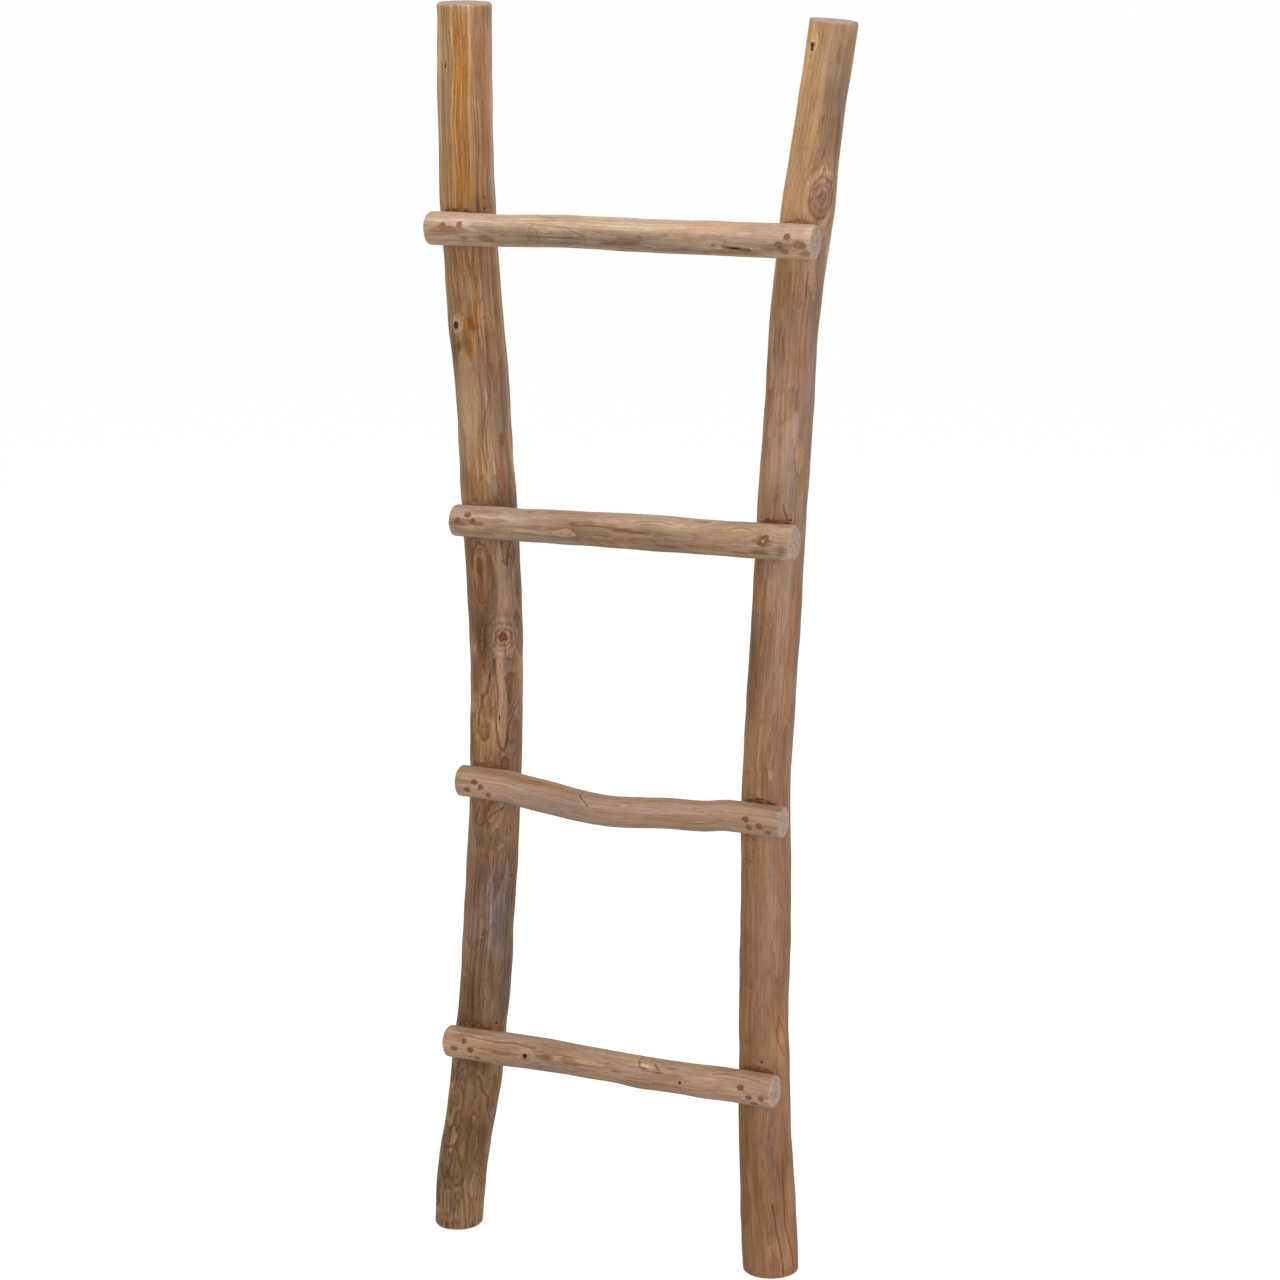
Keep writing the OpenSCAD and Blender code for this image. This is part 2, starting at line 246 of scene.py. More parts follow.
class Wire:
    # A socket that takes part in sums with numbers and other sockets
    def __init__(self, graph, socket):
        self.graph, self.socket = graph, socket

    def __add__(self, other):
        return self.graph.number("ADD", self, other)

    def __sub__(self, other):
        return self.graph.number("SUBTRACT", self, other)

    def __rsub__(self, other):
        return self.graph.number("SUBTRACT", other, self)

    def __mul__(self, other):
        return self.graph.number("MULTIPLY", self, other)

    def __abs__(self):
        return self.graph.number("ABSOLUTE", self, 0)

    __radd__, __rmul__ = __add__, __mul__


class Graph:
    # The nodes of a material, or of the tree that is given; colours are written as screen values from 0 to 255
    def __init__(self, name, tree=None):
        if tree is None:
            self.material = bpy.data.materials.new(name)
            self.material.use_nodes = True
            tree = self.material.node_tree
        self.tree = tree
        tree.nodes.clear()

    def add(self, kind, settings, values, out=0):
        node = self.tree.nodes.new(kind)
        for key, value in settings.items():
            if key == "stops":
                ramp = node.color_ramp
                while len(ramp.elements) < len(value):
                    ramp.elements.new(0.5)
                for element, (place, colour) in zip(ramp.elements, value):
                    element.position, element.color = place, colourOf(colour)
            else:
                setattr(node, key, value)
        for key, value in values.items():
            if isinstance(value, Wire):
                self.tree.links.new(value.socket, node.inputs[key])
            else:
                node.inputs[key].default_value = value
        return Wire(self, node.outputs[out]) if len(node.outputs) else node

    def number(self, operation, a, b):
        return self.add("ShaderNodeMath", {"operation": operation}, {0: a, 1: b})

    def vector(self, operation, a, b):
        return self.add("ShaderNodeVectorMath", {"operation": operation}, {0: a, 1: b})

    def field(self, name):
        return self.add("ShaderNodeAttribute", {"attribute_name": name}, {}, "Vector")

    def split(self, vector):
        node = self.add("ShaderNodeSeparateXYZ", {}, {0: vector}).socket.node
        return [Wire(self, node.outputs[k]) for k in range(3)]

    def stretch(self, vector, factors, shift=(0, 0, 0)):
        return self.add("ShaderNodeVectorMath", {"operation": "MULTIPLY_ADD"}, {0: vector, 1: factors, 2: shift})

    def noise(self, vector, detail=2.0, roughness=0.5, bend=0.0, out=0):
        values = {"Vector": vector, "Scale": 1.0, "Detail": detail, "Roughness": roughness, "Distortion": bend}
        return self.add("ShaderNodeTexNoise", {}, values, out)

    # Smooth step between two levels, times a strength where one is given
    def ease(self, value, low, high, strength=None):
        values = {"Value": value, "From Min": low, "From Max": high}
        share = self.add("ShaderNodeMapRange", {"interpolation_type": "SMOOTHSTEP"}, values)
        return share if strength is None else share * strength

    def mix(self, under, over, factor):
        return self.add("ShaderNodeMix", {"data_type": "RGBA"}, {0: factor, 6: colourOf(under), 7: colourOf(over)}, 2)

    def tint(self, colour, tone, factor):
        by = (*(share ** 2.2 for share in tones[tone]), 1)
        settings = {"data_type": "RGBA", "blend_type": "MULTIPLY"}
        return self.add("ShaderNodeMix", settings, {0: factor, 6: colour, 7: by}, 2)

    def brighten(self, colour, amount):
        return self.add("ShaderNodeVectorMath", {"operation": "SCALE"}, {0: colour, "Scale": amount})

    def finish(self, colour, roughness, height, depth, metallic=0.0, specular=0.18):
        bump = self.add("ShaderNodeBump", {}, {"Strength": 1.0, "Distance": depth, "Height": height})
        values = {"Base Color": colour, "Roughness": roughness, "Metallic": metallic, "Normal": bump,
                  "Specular IOR Level": specular}
        self.add("ShaderNodeOutputMaterial", {}, {0: self.add("ShaderNodeBsdfPrincipled", {}, values)})
        return self.material


# A socket as it is, or a screen colour as the light values of a node, by the screen's own curve
def colourOf(value):
    if isinstance(value, Wire):
        return value
    return (*(c / 255 / 12.92 if c < 10.3 else ((c / 255 + 0.055) / 1.055) ** 2.4 for c in value), 1)


# How each tone changes the ground colour, as shares of its red, green and blue on screen
tones = {
    "amber": (0.97, 0.84, 0.56), "pale": (1.10, 1.13, 1.16), "blueGrey": (0.925, 0.965, 1.05),
    "brown": (0.86, 0.78, 0.68), "rust": (1.02, 0.885, 0.74), "olive": (0.92, 0.92, 0.83),
    "outline": (0.75, 0.67, 0.58), "vein": (0.91, 0.78, 0.56), "golden": (1.025, 0.99, 0.92),
    "pink": (0.98, 0.99, 1.06), "pore": (0.76, 0.70, 0.62),
}
# Colours that don't depend on the ground
teak = {"pit": (50, 26, 10), "endGrain": (190, 166, 150), "endRing": (162, 137, 119), "endCrack": (112, 88, 70),
        "endStain": (168, 134, 112), "endTorn": (206, 186, 174)}
# The wood's noises: field, swings per millimetre across and along, detail, roughness and bend.
# A band's swings across are the piece's own, and its pull goes with streak, fibre and hair
woodNoises = {
    "broad": ("grain", 0.13, 0.0042, 3.0, 0.55, 0), "band": ("grain", None, 0.0015, 4.0, 0.68, 0),
    "streak": ("grain", 0.34, 0.010, 3.0, 0.6, 0), "fibre": ("grain", 0.95, 0.028, 3.0, 0.6, 0),
    "hair": ("grain", 2.6, 0.09, 2.0, 0.6, 0), "cloud": ("section", 0.028, 0.011, 3.0, 0.55, 0),
    "blotch": ("section", 0.10, 0.045, 4.0, 0.6, 0.5), "swirl": ("section", 0.045, 0.017, 2.0, 0.5, 1.0),
    "speck": ("section", 0.5, 0.26, 3.0, 0.6, 0),
}
# Effects on the wood: the levels where each starts and is full, and for some a strength
woodEffects = {
    "pinkness": (-1.0, 1.0), "calm": (0.25, 0.85, 0.7), "bands": (0.95, 0.4), "bandBrown": (-0.05, -0.18, 0.7),
    "bandLine": (0.02, 0), "broadLine": (0.03, 0), "broken": (-0.16, 0.14), "edge": (0.15, 0),
    "gradeUp": (0, 0.8), "gradeDown": (1.0, 0.9), "layerBrown": (0.48, 0.62), "layerGrey": (0.50, 0.66, 0.65),
    "patch": (0.18, 0.78), "paleAndHighlight": (1.0, 1.45, 0.22), "vein": (3.0, 0.2, 0.85), "crackSide": (1.6, 0, 0.13),
    "crack": (2.7, 0.3), "wideCrack": (-1.4, -0.6), "wideCrackPale": (-0.6, -1.4), "knot": (1.08, 0.96),
    "knotBorder": (0.26, 0, 0.22), "knotOutline": (0.12, 0, 0.12), "pit": (0, 0.26), "pitRim": (-0.4, 0.1, 0.5),
    "pore": (0.63, 0.72), "check": (0.60, 0.68), "checkInner": (2.0, 7.0), "checkOuter": (22.0, 13.0),
    "endRing": (-0.6, 1.2, 0.45), "endStain": (-0.02, 0.16, 0.55), "endTorn": (0.02, 0.14, 0.6),
    "endPith": (3.6, 1.6, 0.5), "onEnd": (0.4, 0.8), "nearEnd": (0.02, 0.3, 0.16),
}
woodFinish = {"roughness": 0.66, "bumpDepth": 0.0006, "seedShift": (3.7, 1.3), "ringPitch": 2.1,
              "poreSwings": (1.6, 1.6, 0.08), "checkSwings": (3.6, 3.6, 1), "layerSwings": (0.025, 0.025, 0.011),
              "layerShift": (5.1, 2.3)}


# Wood whose figure follows the piece's own unbent coordinates and its drawn marks: noises are added up with weights,
# and each effect on the colour is a smooth step of such a sum
def woodMaterial(name, look):
    g = Graph(name)
    def fade(effect, value):
        return g.ease(value, *woodEffects[effect])
    fields = {"section": g.field("section"), "grain": g.field("grain")}
    layer, knot, end = g.split(g.field("figure"))
    contrast, shade, pink = g.split(g.field("mood"))
    darkPath, rustPath, pit = g.split(g.field("trace"))
    across, back, along = g.split(fields["section"])
    offset = (*(look["seed"] * factor for factor in woodFinish["seedShift"]), 0)
    noises = []
    for key, (field, wide, tall, detail, roughness, bend) in woodNoises.items():
        wide = look["bandPitch"] if key == "band" else wide
        tall = tall * look["pull"] if key in ("streak", "fibre", "hair") else tall
        noises.append(g.noise(g.stretch(fields[field], (wide, wide, tall), offset), detail, roughness, bend) - 0.5)
    broad, band, streak, fibre, hair, cloud, blotch, swirl, speck = noises
    # Ground colour along the piece, golden or pink in clouds and streaks
    share = g.add("ShaderNodeMapRange", {}, {"Value": along, "From Min": look["low"], "From Max": look["high"]})
    colour = g.add("ShaderNodeValToRGB", {"stops": look["ground"]}, {0: share})
    # Along the tops of the two upper rungs the pink hills are part of a painted highlight
    pinkness = fade("pinkness", pink + 2.0 * cloud + 1.6 * broad - 2.4 * streak)
    colour = g.tint(g.tint(colour, "golden", 1 - pinkness), "pink", pinkness)
    # Long bands and shorter fibres; the bands give way where the figure is strong
    warmth = g.split(g.field("warmth"))
    calm = 1 - fade("calm", warmth[1])
    contrast = contrast * calm
    bands = fade("bands", contrast) * calm * look["bands"]
    lines = 0.6 * broad + 0.8 * streak + 1.0 * fibre + look["hair"] * hair + look["cloudy"] * cloud
    lines = calm * look["lines"] * lines
    # The shade hills brighten or darken the colour. They are partly painted light: each side of a rung is lighter or
    # darker by how light falls on it, and the poles are darker or lighter just under or above the rungs. The rest are
    # lighter and darker patches of the wood
    colour = g.brighten(colour, (1 + shade + bands * 1.8 * band + lines) * look["lift"])
    colour = g.tint(colour, "brown", fade("bandBrown", band + 0.3 * fibre) * bands)
    bandLine, broadLine = abs(band + 0.1 * speck), abs(broad + 0.2 * speck)
    growthLine = fade("bandLine", bandLine) * bands + fade("broadLine", broadLine) * (1 - bands)
    colour = g.tint(colour, "outline", growthLine * look["growthLines"])
    # Growth layers cut through by the peeled surface: each has a tone of its own and is darkest at its torn edge
    level = layer + look["ragged"] * (1.7 * swirl + 0.5 * blotch + 0.85 * streak + 0.5 * fibre + 0.15 * speck)
    saw = g.number("FRACT", level, 0)
    shiftX, shiftY = ((level - saw) * factor for factor in woodFinish["layerShift"])
    shift = g.add("ShaderNodeCombineXYZ", {}, {0: shiftX, 1: shiftY})
    layerPlace = g.vector("ADD", g.stretch(fields["section"], woodFinish["layerSwings"]), shift)
    red, green, blue = g.split(g.noise(layerPlace, 1.0, out="Color"))
    broken = fade("broken", 0.7 * cloud + speck + 0.6 * fibre)
    edge = fade("edge", saw) * (0.3 + 0.7 * broken)
    grade = fade("gradeUp", saw) * fade("gradeDown", saw)
    colour = g.brighten(colour, 1 + contrast * (2.0 * (red - 0.5) + 0.34 * (grade - 0.6)))
    colour = g.tint(colour, "brown", fade("layerBrown", green) * contrast * look["layerBrown"])
    colour = g.tint(colour, "blueGrey", fade("layerGrey", blue) * contrast)
    colour = g.tint(colour, "outline", edge * contrast * 0.6)
    # Drawn patches of tone, their edges broken up by the blotches and the fibres
    ragged = 0.6 * blotch + 0.8 * streak + 0.5 * fibre + 0.2 * speck
    masks = (*warmth, *g.split(g.field("stain")))
    for mask, tone in zip(masks, ("amber", "pale", "blueGrey", "brown", "rust", "olive")):
        colour = g.tint(colour, tone, fade("patch", mask + ragged) * (0.95 + 1.6 * fibre))
    # Pale marks are brightened too; along the second rung's top this is a painted highlight
    colour = g.brighten(colour, 1 + fade("paleAndHighlight", warmth[1] + 0.8 * ragged))
    # Veins and cracks drawn along paths; a crack has a lighter border, and a wide one a pale middle
    stray = 1.6 * speck + 1.4 * streak + 1.2 * fibre
    darkLine = darkPath + stray
    colour = g.tint(colour, "vein", fade("vein", rustPath + stray))
    colour = g.brighten(colour, 1 + fade("crackSide", abs(darkLine - 3.8)))
    crack = fade("crack", darkLine) * fade("wideCrack", darkLine)
    colour = g.tint(colour, "outline", crack * (0.7 + 0.5 * broken))
    colour = g.tint(colour, "pale", fade("wideCrackPale", darkLine))
    # Knots: rings that change the ground's tone, a paler border and a darker line round it
    ringed = knot + look["knotRough"] * (blotch + 0.3 * speck)
    rings = g.add("ShaderNodeValToRGB", {"stops": look["knotRings"]}, {0: ringed})
    ringColour = g.brighten(g.vector("MULTIPLY", colour, rings), 2.0)
    colour = g.mix(colour, ringColour, fade("knot", ringed) * look["knotShare"])
    border = fade("knotBorder", abs(ringed - 1.22)) - fade("knotOutline", abs(ringed - 1.55))
    colour = g.brighten(colour, 1 + border * look["knotShare"])
    # Pits and pin knots, then fine dark pores in short dashes
    hole = fade("pit", pit + 0.5 * blotch)
    colour = g.tint(colour, "outline", fade("pitRim", pit + 0.6 * blotch))
    colour = g.mix(colour, teak["pit"], hole * 0.95)
    pore = fade("pore", g.noise(g.stretch(fields["grain"], woodFinish["poreSwings"]), 1.0))
    colour = g.tint(colour, "pore", pore * 0.6)
    # End grain: rings about the pith, split by radial checks
    outX, outY = across - look["pith"][0], back - look["pith"][1]
    reach = g.number("SQRT", outX * outX + outY * outY, 0)
    outward = g.vector("NORMALIZE", g.add("ShaderNodeCombineXYZ", {}, {0: outX, 1: outY}), (0, 0, 0))
    check = fade("check", g.noise(g.stretch(outward, woodFinish["checkSwings"]), 2.0, 0.6))
    check = check * fade("checkInner", reach) * fade("checkOuter", reach)
    endRings = g.number("SINE", reach * woodFinish["ringPitch"] + 9.0 * blotch, 0)
    endColour = teak["endGrain"]
    for tone, amount in (("endRing", endRings + 5.0 * speck + 3.0 * blotch), ("endStain", 1.4 * blotch + swirl),
                         ("endTorn", swirl + speck - blotch)):
        endColour = g.mix(endColour, teak[tone], fade(tone, amount))
    endColour = g.mix(endColour, teak["endCrack"], fade("endPith", reach + 4.0 * speck) + check * 0.7)
    onEnd = fade("onEnd", end + 0.5 * speck)
    # endLight scales the end grain. On the poles it is 0.72, painted shade that darkens their ends, whose tops the lamp
    # above lights
    colour = g.mix(colour, g.brighten(endColour, look["endLight"]), onEnd)
    colour = g.brighten(colour, 1 + fade("nearEnd", end) * (1 - onEnd))
    onSkin = (0.9 * streak + 0.7 * fibre + 0.4 * hair + 0.5 * broad - 0.35 * edge * contrast
              - 0.3 * growthLine - 2.2 * hole - 0.3 * pore)
    height = onSkin * (1 - onEnd) + onEnd * (0.12 * endRings - 1.2 * check + 0.5 * speck)
    roughness = woodFinish["roughness"] + 0.3 * fibre + 0.2 * cloud + 0.1 * onEnd
    return g.finish(colour, roughness, height, woodFinish["bumpDepth"])


# Rungs: growth rows are share of the way between the poles, shifts up and back in mm, and girth; marks are
# (angle up from the front, mm from the left pole's middle, half width in degrees, half length, strength).
# figureAlong rows are place, mottle, flame and contrast, and a path has a half width in mm and its points.
# Spots have their width and length in mm; knots end with their height, and holes with their size and depth
# On each rung, the shade marks that run its whole length (210 along, 300 half length) are painted light: they darken
# the underside and lighten or darken the top as light falls on each side. The pink strips along the tops of the two
# upper rungs and the pale one along the second rung's top are painted highlight. The blue-grey strips along the
# undersides of the first and third rungs make them greyer
topRung = {
    "node": "rung_1", "slot": "rung_wood", "height": 1250, "rise": 6, "radius": 19, "reach": (32, 30), "seed": 31,
    "growth": [
        (0.09, 0, 0, 1), (0.2, 0.8, -1, 0.98), (0.33, 2, -2, 0.99), (0.48, 1.4, -2, 1.01), (0.64, 0.3, -1.5, 1),
        (0.77, 0.4, -0.5, 1.03), (0.91, 0, 0, 1.04)],
    "ground": [(0, (188, 159, 130)), (0.5, (190, 161, 130)), (1, (186, 157, 128))],
    "figureAlong": [
        (-40, 0.2, 0.2, 0.3), (60, 0.35, 0.2, 0.36), (240, 0.35, 0.2, 0.36), (330, 0.25, 0.2, 0.3),
        (450, 0.15, 0.2, 0.25)],
    "shade": [
        (-12, 408, 22, 26, -0.24), (2, 433, 18, 9, -0.2), (-70, 417, 16, 20, -0.24), (13, 210, 12, 300, -0.22),
        (-10, 210, 13, 300, -0.36), (-34, 210, 20, 300, -0.4), (-66, 210, 20, 300, -0.1), (32, 210, 22, 300, 0.24)],
    "pink": [(80, 210, 50, 300, 0.5)],
    "hills": [(0, 135, 22, 20, 1.4), (-35, 135, 24, 16, 0.8), (-15, 330, 9, 8, 1.5)],
    "pale": [(40, 120, 30, 220, 0.4), (14, 442, 60, 5, 0.8)],
    "blueGrey": [(-20, 20, 20, 60, 0.3), (-20, 440, 50, 8, 0.6), (-64, 210, 26, 240, 0.55)],
    "brown": [
        (-42, 350, 16, 36, 0.6), (-36, 290, 14, 34, 0.5), (-34, 432, 12, 8, 0.7), (-22, 395, 8, 9, 0.5),
        (-25, 57, 15, 13, 0.75), (-25, 212, 11, 22, 0.8), (-3, 243, 5, 4, 0.8), (-50, 150, 20, 80, 0.3),
        (3, 4, 16, 22, 0.6), (16, -8, 12, 7, 0.5), (-2, 10, 12, 8, 0.45), (-20, 404, 9, 6, 0.4), (0, 430, 14, 10, 0.9),
        (18, 416, 9, 6, 0.5), (-48, 320, 20, 60, 0.3)],
    "rust": [(80, 250, 18, 80, 0.3)],
    "olive": [(-40, 110, 24, 60, 0.3), (-20, 290, 20, 30, 0.3)],
    "darkPaths": [
        (-1.2, [(24, 108), (24, 150)]), (-1.3, [(20, 106), (-5, 104), (-40, 106)]),
        (-1.1, [(24, 150), (6, 160), (-8, 172)]), (-1.3, [(-16, 118), (-18, 145), (-12, 168)]),
        (0.6, [(-18, 343), (-22, 357), (-28, 372)])],
    "spots": [(-23, 354, 2.4, 18)],
    "knots": [(-15, 330, 14, 9, 0.3), (200, 120, 20, 12, 0.8)],
}
secondRung = {
    "node": "rung_2", "slot": "rung_wood", "height": 907.5, "rise": 4.5, "radius": 20, "reach": (26, 32.5), "seed": 47,
    "growth": [
        (0.09, 0, 0, 0.955), (0.17, -1.2, 0.5, 0.94), (0.26, -0.6, 1, 0.98), (0.35, 0, 1.5, 1.01),
        (0.48, 0.6, 1.5, 1.02), (0.75, 0, 0.5, 1.025), (0.91, 0, 0, 1.025)],
    "ground": [(0, (181, 152, 127)), (0.5, (177, 148, 121)), (1, (180, 150, 119))],
    "figureAlong": [
        (-40, 0.4, 0.3, 0.36), (60, 0.4, 0.5, 0.42), (260, 0.4, 0.5, 0.42), (330, 0.35, 0.3, 0.36),
        (450, 0.2, 0.3, 0.3)],
    "shade": [
        (-16, 28, 14, 12, -0.24), (-6, -15, 40, 12, -0.3), (-16, 388, 24, 9, -0.42), (-24, 362, 14, 10, -0.22),
        (-30, 210, 30, 300, -0.18), (-64, 210, 24, 300, -0.26), (44, 210, 24, 300, 0.2), (12, 210, 12, 300, -0.1)],
    "pink": [(80, 210, 50, 300, 0.7)],
    "hills": [(12, 10, 22, 20, 0.8), (50, 338, 12, 12, 0.8)],
    "amber": [(70, 200, 24, 200, 0.3)],
    "pale": [(35, 60, 16, 90, 0.35), (30, 300, 16, 70, 0.35), (80, 210, 20, 240, 0.35), (-50, 391, 30, 9, 1.3)],
    "blueGrey": [(-50, 391, 30, 9, 0.7), (0, 40, 12, 12, 0.5), (-12, 92, 10, 18, 0.6), (-45, 85, 14, 22, 0.5)],
    "brown": [
        (8, -14, 12, 8, 0.85), (3, 10, 10, 12, 0.7), (-28, 362, 12, 12, 0.8), (-38, 338, 10, 14, 0.7),
        (24, 155, 12, 28, 0.56), (13, 205, 10, 34, 0.6), (-3, 165, 10, 20, 0.56), (8, 240, 8, 20, 0.6),
        (34, 110, 10, 30, 0.46), (-16, 205, 8, 30, 0.54), (-32, 245, 10, 18, 0.52), (-22, 300, 9, 30, 0.45),
        (5, 75, 8, 20, 0.42), (12.5, 371, 20, 7, 0.8), (12.5, 371, 8, 12, 0.8), (-30, 150, 18, 30, 0.4),
        (0, 315, 9, 20, 0.4)],
    "rust": [(80, 120, 16, 60, 0.3)],
    "olive": [(-40, 180, 24, 60, 0.4), (10, 110, 10, 20, 0.3), (-24, 210, 24, 240, 0.45), (20, 210, 24, 240, 0.3)],
    "darkPaths": [
        (-1, [(27, 130), (22, 160), (14, 195), (8, 225)]), (-1.2, [(45, 210), (52, 235), (46, 252)]),
        (-1, [(42, 322), (54, 338), (42, 352)]), (-0.8, [(-14, 60), (-22, 90), (-18, 118)])],
    "knots": [(170, 280, 22, 13, 0.8)],
}
thirdRung = {
    "node": "rung_3", "slot": "rung_wood", "height": 588, "rise": -9, "radius": 18.75, "reach": (28.5, 37.5),
    "seed": 63,
    "growth": [
        (0.09, 0, 0, 1), (0.16, -3.8, -0.5, 1.01), (0.25, -7, -1.5, 1.04), (0.34, -10.1, -2.5, 1.015),
        (0.43, -12.4, -3, 0.99), (0.5, -12.3, -3, 0.98), (0.6, -9.8, -2.5, 0.965), (0.7, -6.8, -1.5, 0.97),
        (0.82, -4.5, -0.5, 0.98), (0.91, 0, 0, 0.985)],
    "ground": [(0, (172, 141, 114)), (0.5, (174, 143, 117)), (1, (172, 141, 115))],
    "figureAlong": [(-40, 0.1, 0.3, 0.26), (450, 0.1, 0.3, 0.24)],
    "shade": [(-62, 210, 24, 300, -0.2), (34, 210, 16, 300, 0.1), (74, 210, 16, 300, -0.16), (-4, 210, 22, 300, -0.12)],
    "pink": [(0, 210, 90, 300, 0.1)],
    "hills": [(30, 140, 10, 12, 0.8)],
    "amber": [(66, 55, 10, 46, 0.5)],
    "pale": [(30, 250, 20, 120, 0.35)],
    "blueGrey": [(12, 145, 5, 88, 0.4), (-60, 210, 26, 240, 1.2)],
    "brown": [(-50, 200, 20, 90, 0.25)],
    "rust": [(75, 70, 10, 45, 0.5), (55, 40, 6, 30, 0.5)],
    "darkPaths": [(-1, [(90, 130), (60, 134)]), (-0.5, [(60, 134), (35, 138), (20, 142)])],
    "knots": [(190, 210, 22, 12, 0.8)],
}
bottomRung = {
    "node": "rung_4", "slot": "rung_wood", "height": 253.5, "rise": -5, "radius": 19.5, "reach": (25, 31), "seed": 83,
    "growth": [
        (0.09, 0, 0, 1.01), (0.15, 0, 0.5, 1.05), (0.28, 0.4, 1, 1.04), (0.37, 0, 1.5, 0.995), (0.45, -0.8, 2, 0.98),
        (0.53, -1.2, 2, 0.965), (0.62, -2.4, 1.5, 1.005), (0.68, -2, 1, 0.97), (0.76, -1.2, 0.5, 0.965),
        (0.83, -1, 0, 0.995), (0.91, 0, 0, 1.03)],
    "ground": [(0, (176, 144, 117)), (0.5, (174, 143, 115)), (1, (176, 145, 119))],
    "figureAlong": [
        (-40, 0.35, 0.3, 0.34), (60, 0.45, 0.3, 0.42), (220, 0.45, 0.3, 0.4), (330, 0.35, 0.3, 0.36),
        (450, 0.2, 0.3, 0.3)],
    "shade": [
        (-26, 347, 14, 22, -0.24), (6, 394, 30, 9, -0.22), (74, -12, 30, 14, 0.25), (-58, 210, 24, 300, -0.32),
        (46, 246, 8, 6, 0.3)],
    "pink": [(0, 210, 90, 300, 0.1)],
    "hills": [(45, 55, 18, 30, 1), (48, 244, 14, 12, 0.5), (50, 355, 14, 28, 1)],
    "pale": [(47, 246, 8, 6, 2), (30, 300, 14, 40, 0.35)],
    "blueGrey": [(-30, 90, 16, 40, 0.35)],
    "brown": [
        (7, 62, 8, 17, 0.7), (7, 110, 12, 11, 0.75), (12, 150, 18, 19, 0.7), (6, 205, 6, 11, 0.6),
        (-20, 262, 8, 22, 0.45)],
    "rust": [(-20, 175, 5, 8, 0.8), (40, 90, 8, 24, 0.3)],
    "olive": [(-30, 140, 16, 60, 0.4)],
    "darkPaths": [
        (-0.5, [(62, 234), (40, 236), (33, 246)]), (-0.6, [(60, 254), (38, 257)]), (-0.8, [(30, 240), (29, 262)]),
        (-0.4, [(60, 232), (90, 232)]), (-0.4, [(72, 245), (85, 247)]), (-0.8, [(50, 325), (58, 350), (50, 385)]),
        (-0.8, [(52, 12), (40, 40), (48, 70), (40, 100)]), (-1, [(-12, 255), (-15, 300), (-10, 330)])],
    "spots": [(8, 87, 6.5, 6.5), (4, 288, 4.5, 3.2)],
    "knots": [(8, 87, 21, 8, 0.3), (160, 150, 22, 12, 0.8)],
}
rungs = [topRung, secondRung, thirdRung, bottomRung]
# A finish: lift is the brightness; lines, cloudy, bands, hair and growthLines are strengths of the figure, and pull
# shortens it along the grain; ragged and layerBrown shape and tone the growth layers; pith is the middle of the end's
# rings in mm; knotRings are stops from a knot's middle to its rim, where 188 leaves the ground as it is
rungFinish = {
    "lift": 1.1, "lines": 0.42, "cloudy": 0.5, "bands": 0.34, "bandPitch": 0.4, "hair": 0.6, "pull": 0.6,
    "growthLines": 0.4, "ragged": 0.45, "layerBrown": 0.7, "knotShare": 0.7, "knotRough": 0.45, "pith": (1.5, -2),
    "endLight": 0.94,
    "knotRings": [
        (0, (114, 100, 93)), (0.3, (155, 145, 140)), (0.5, (196, 198, 200)), (0.75, (176, 170, 166)),
        (1, (190, 190, 190))],
}

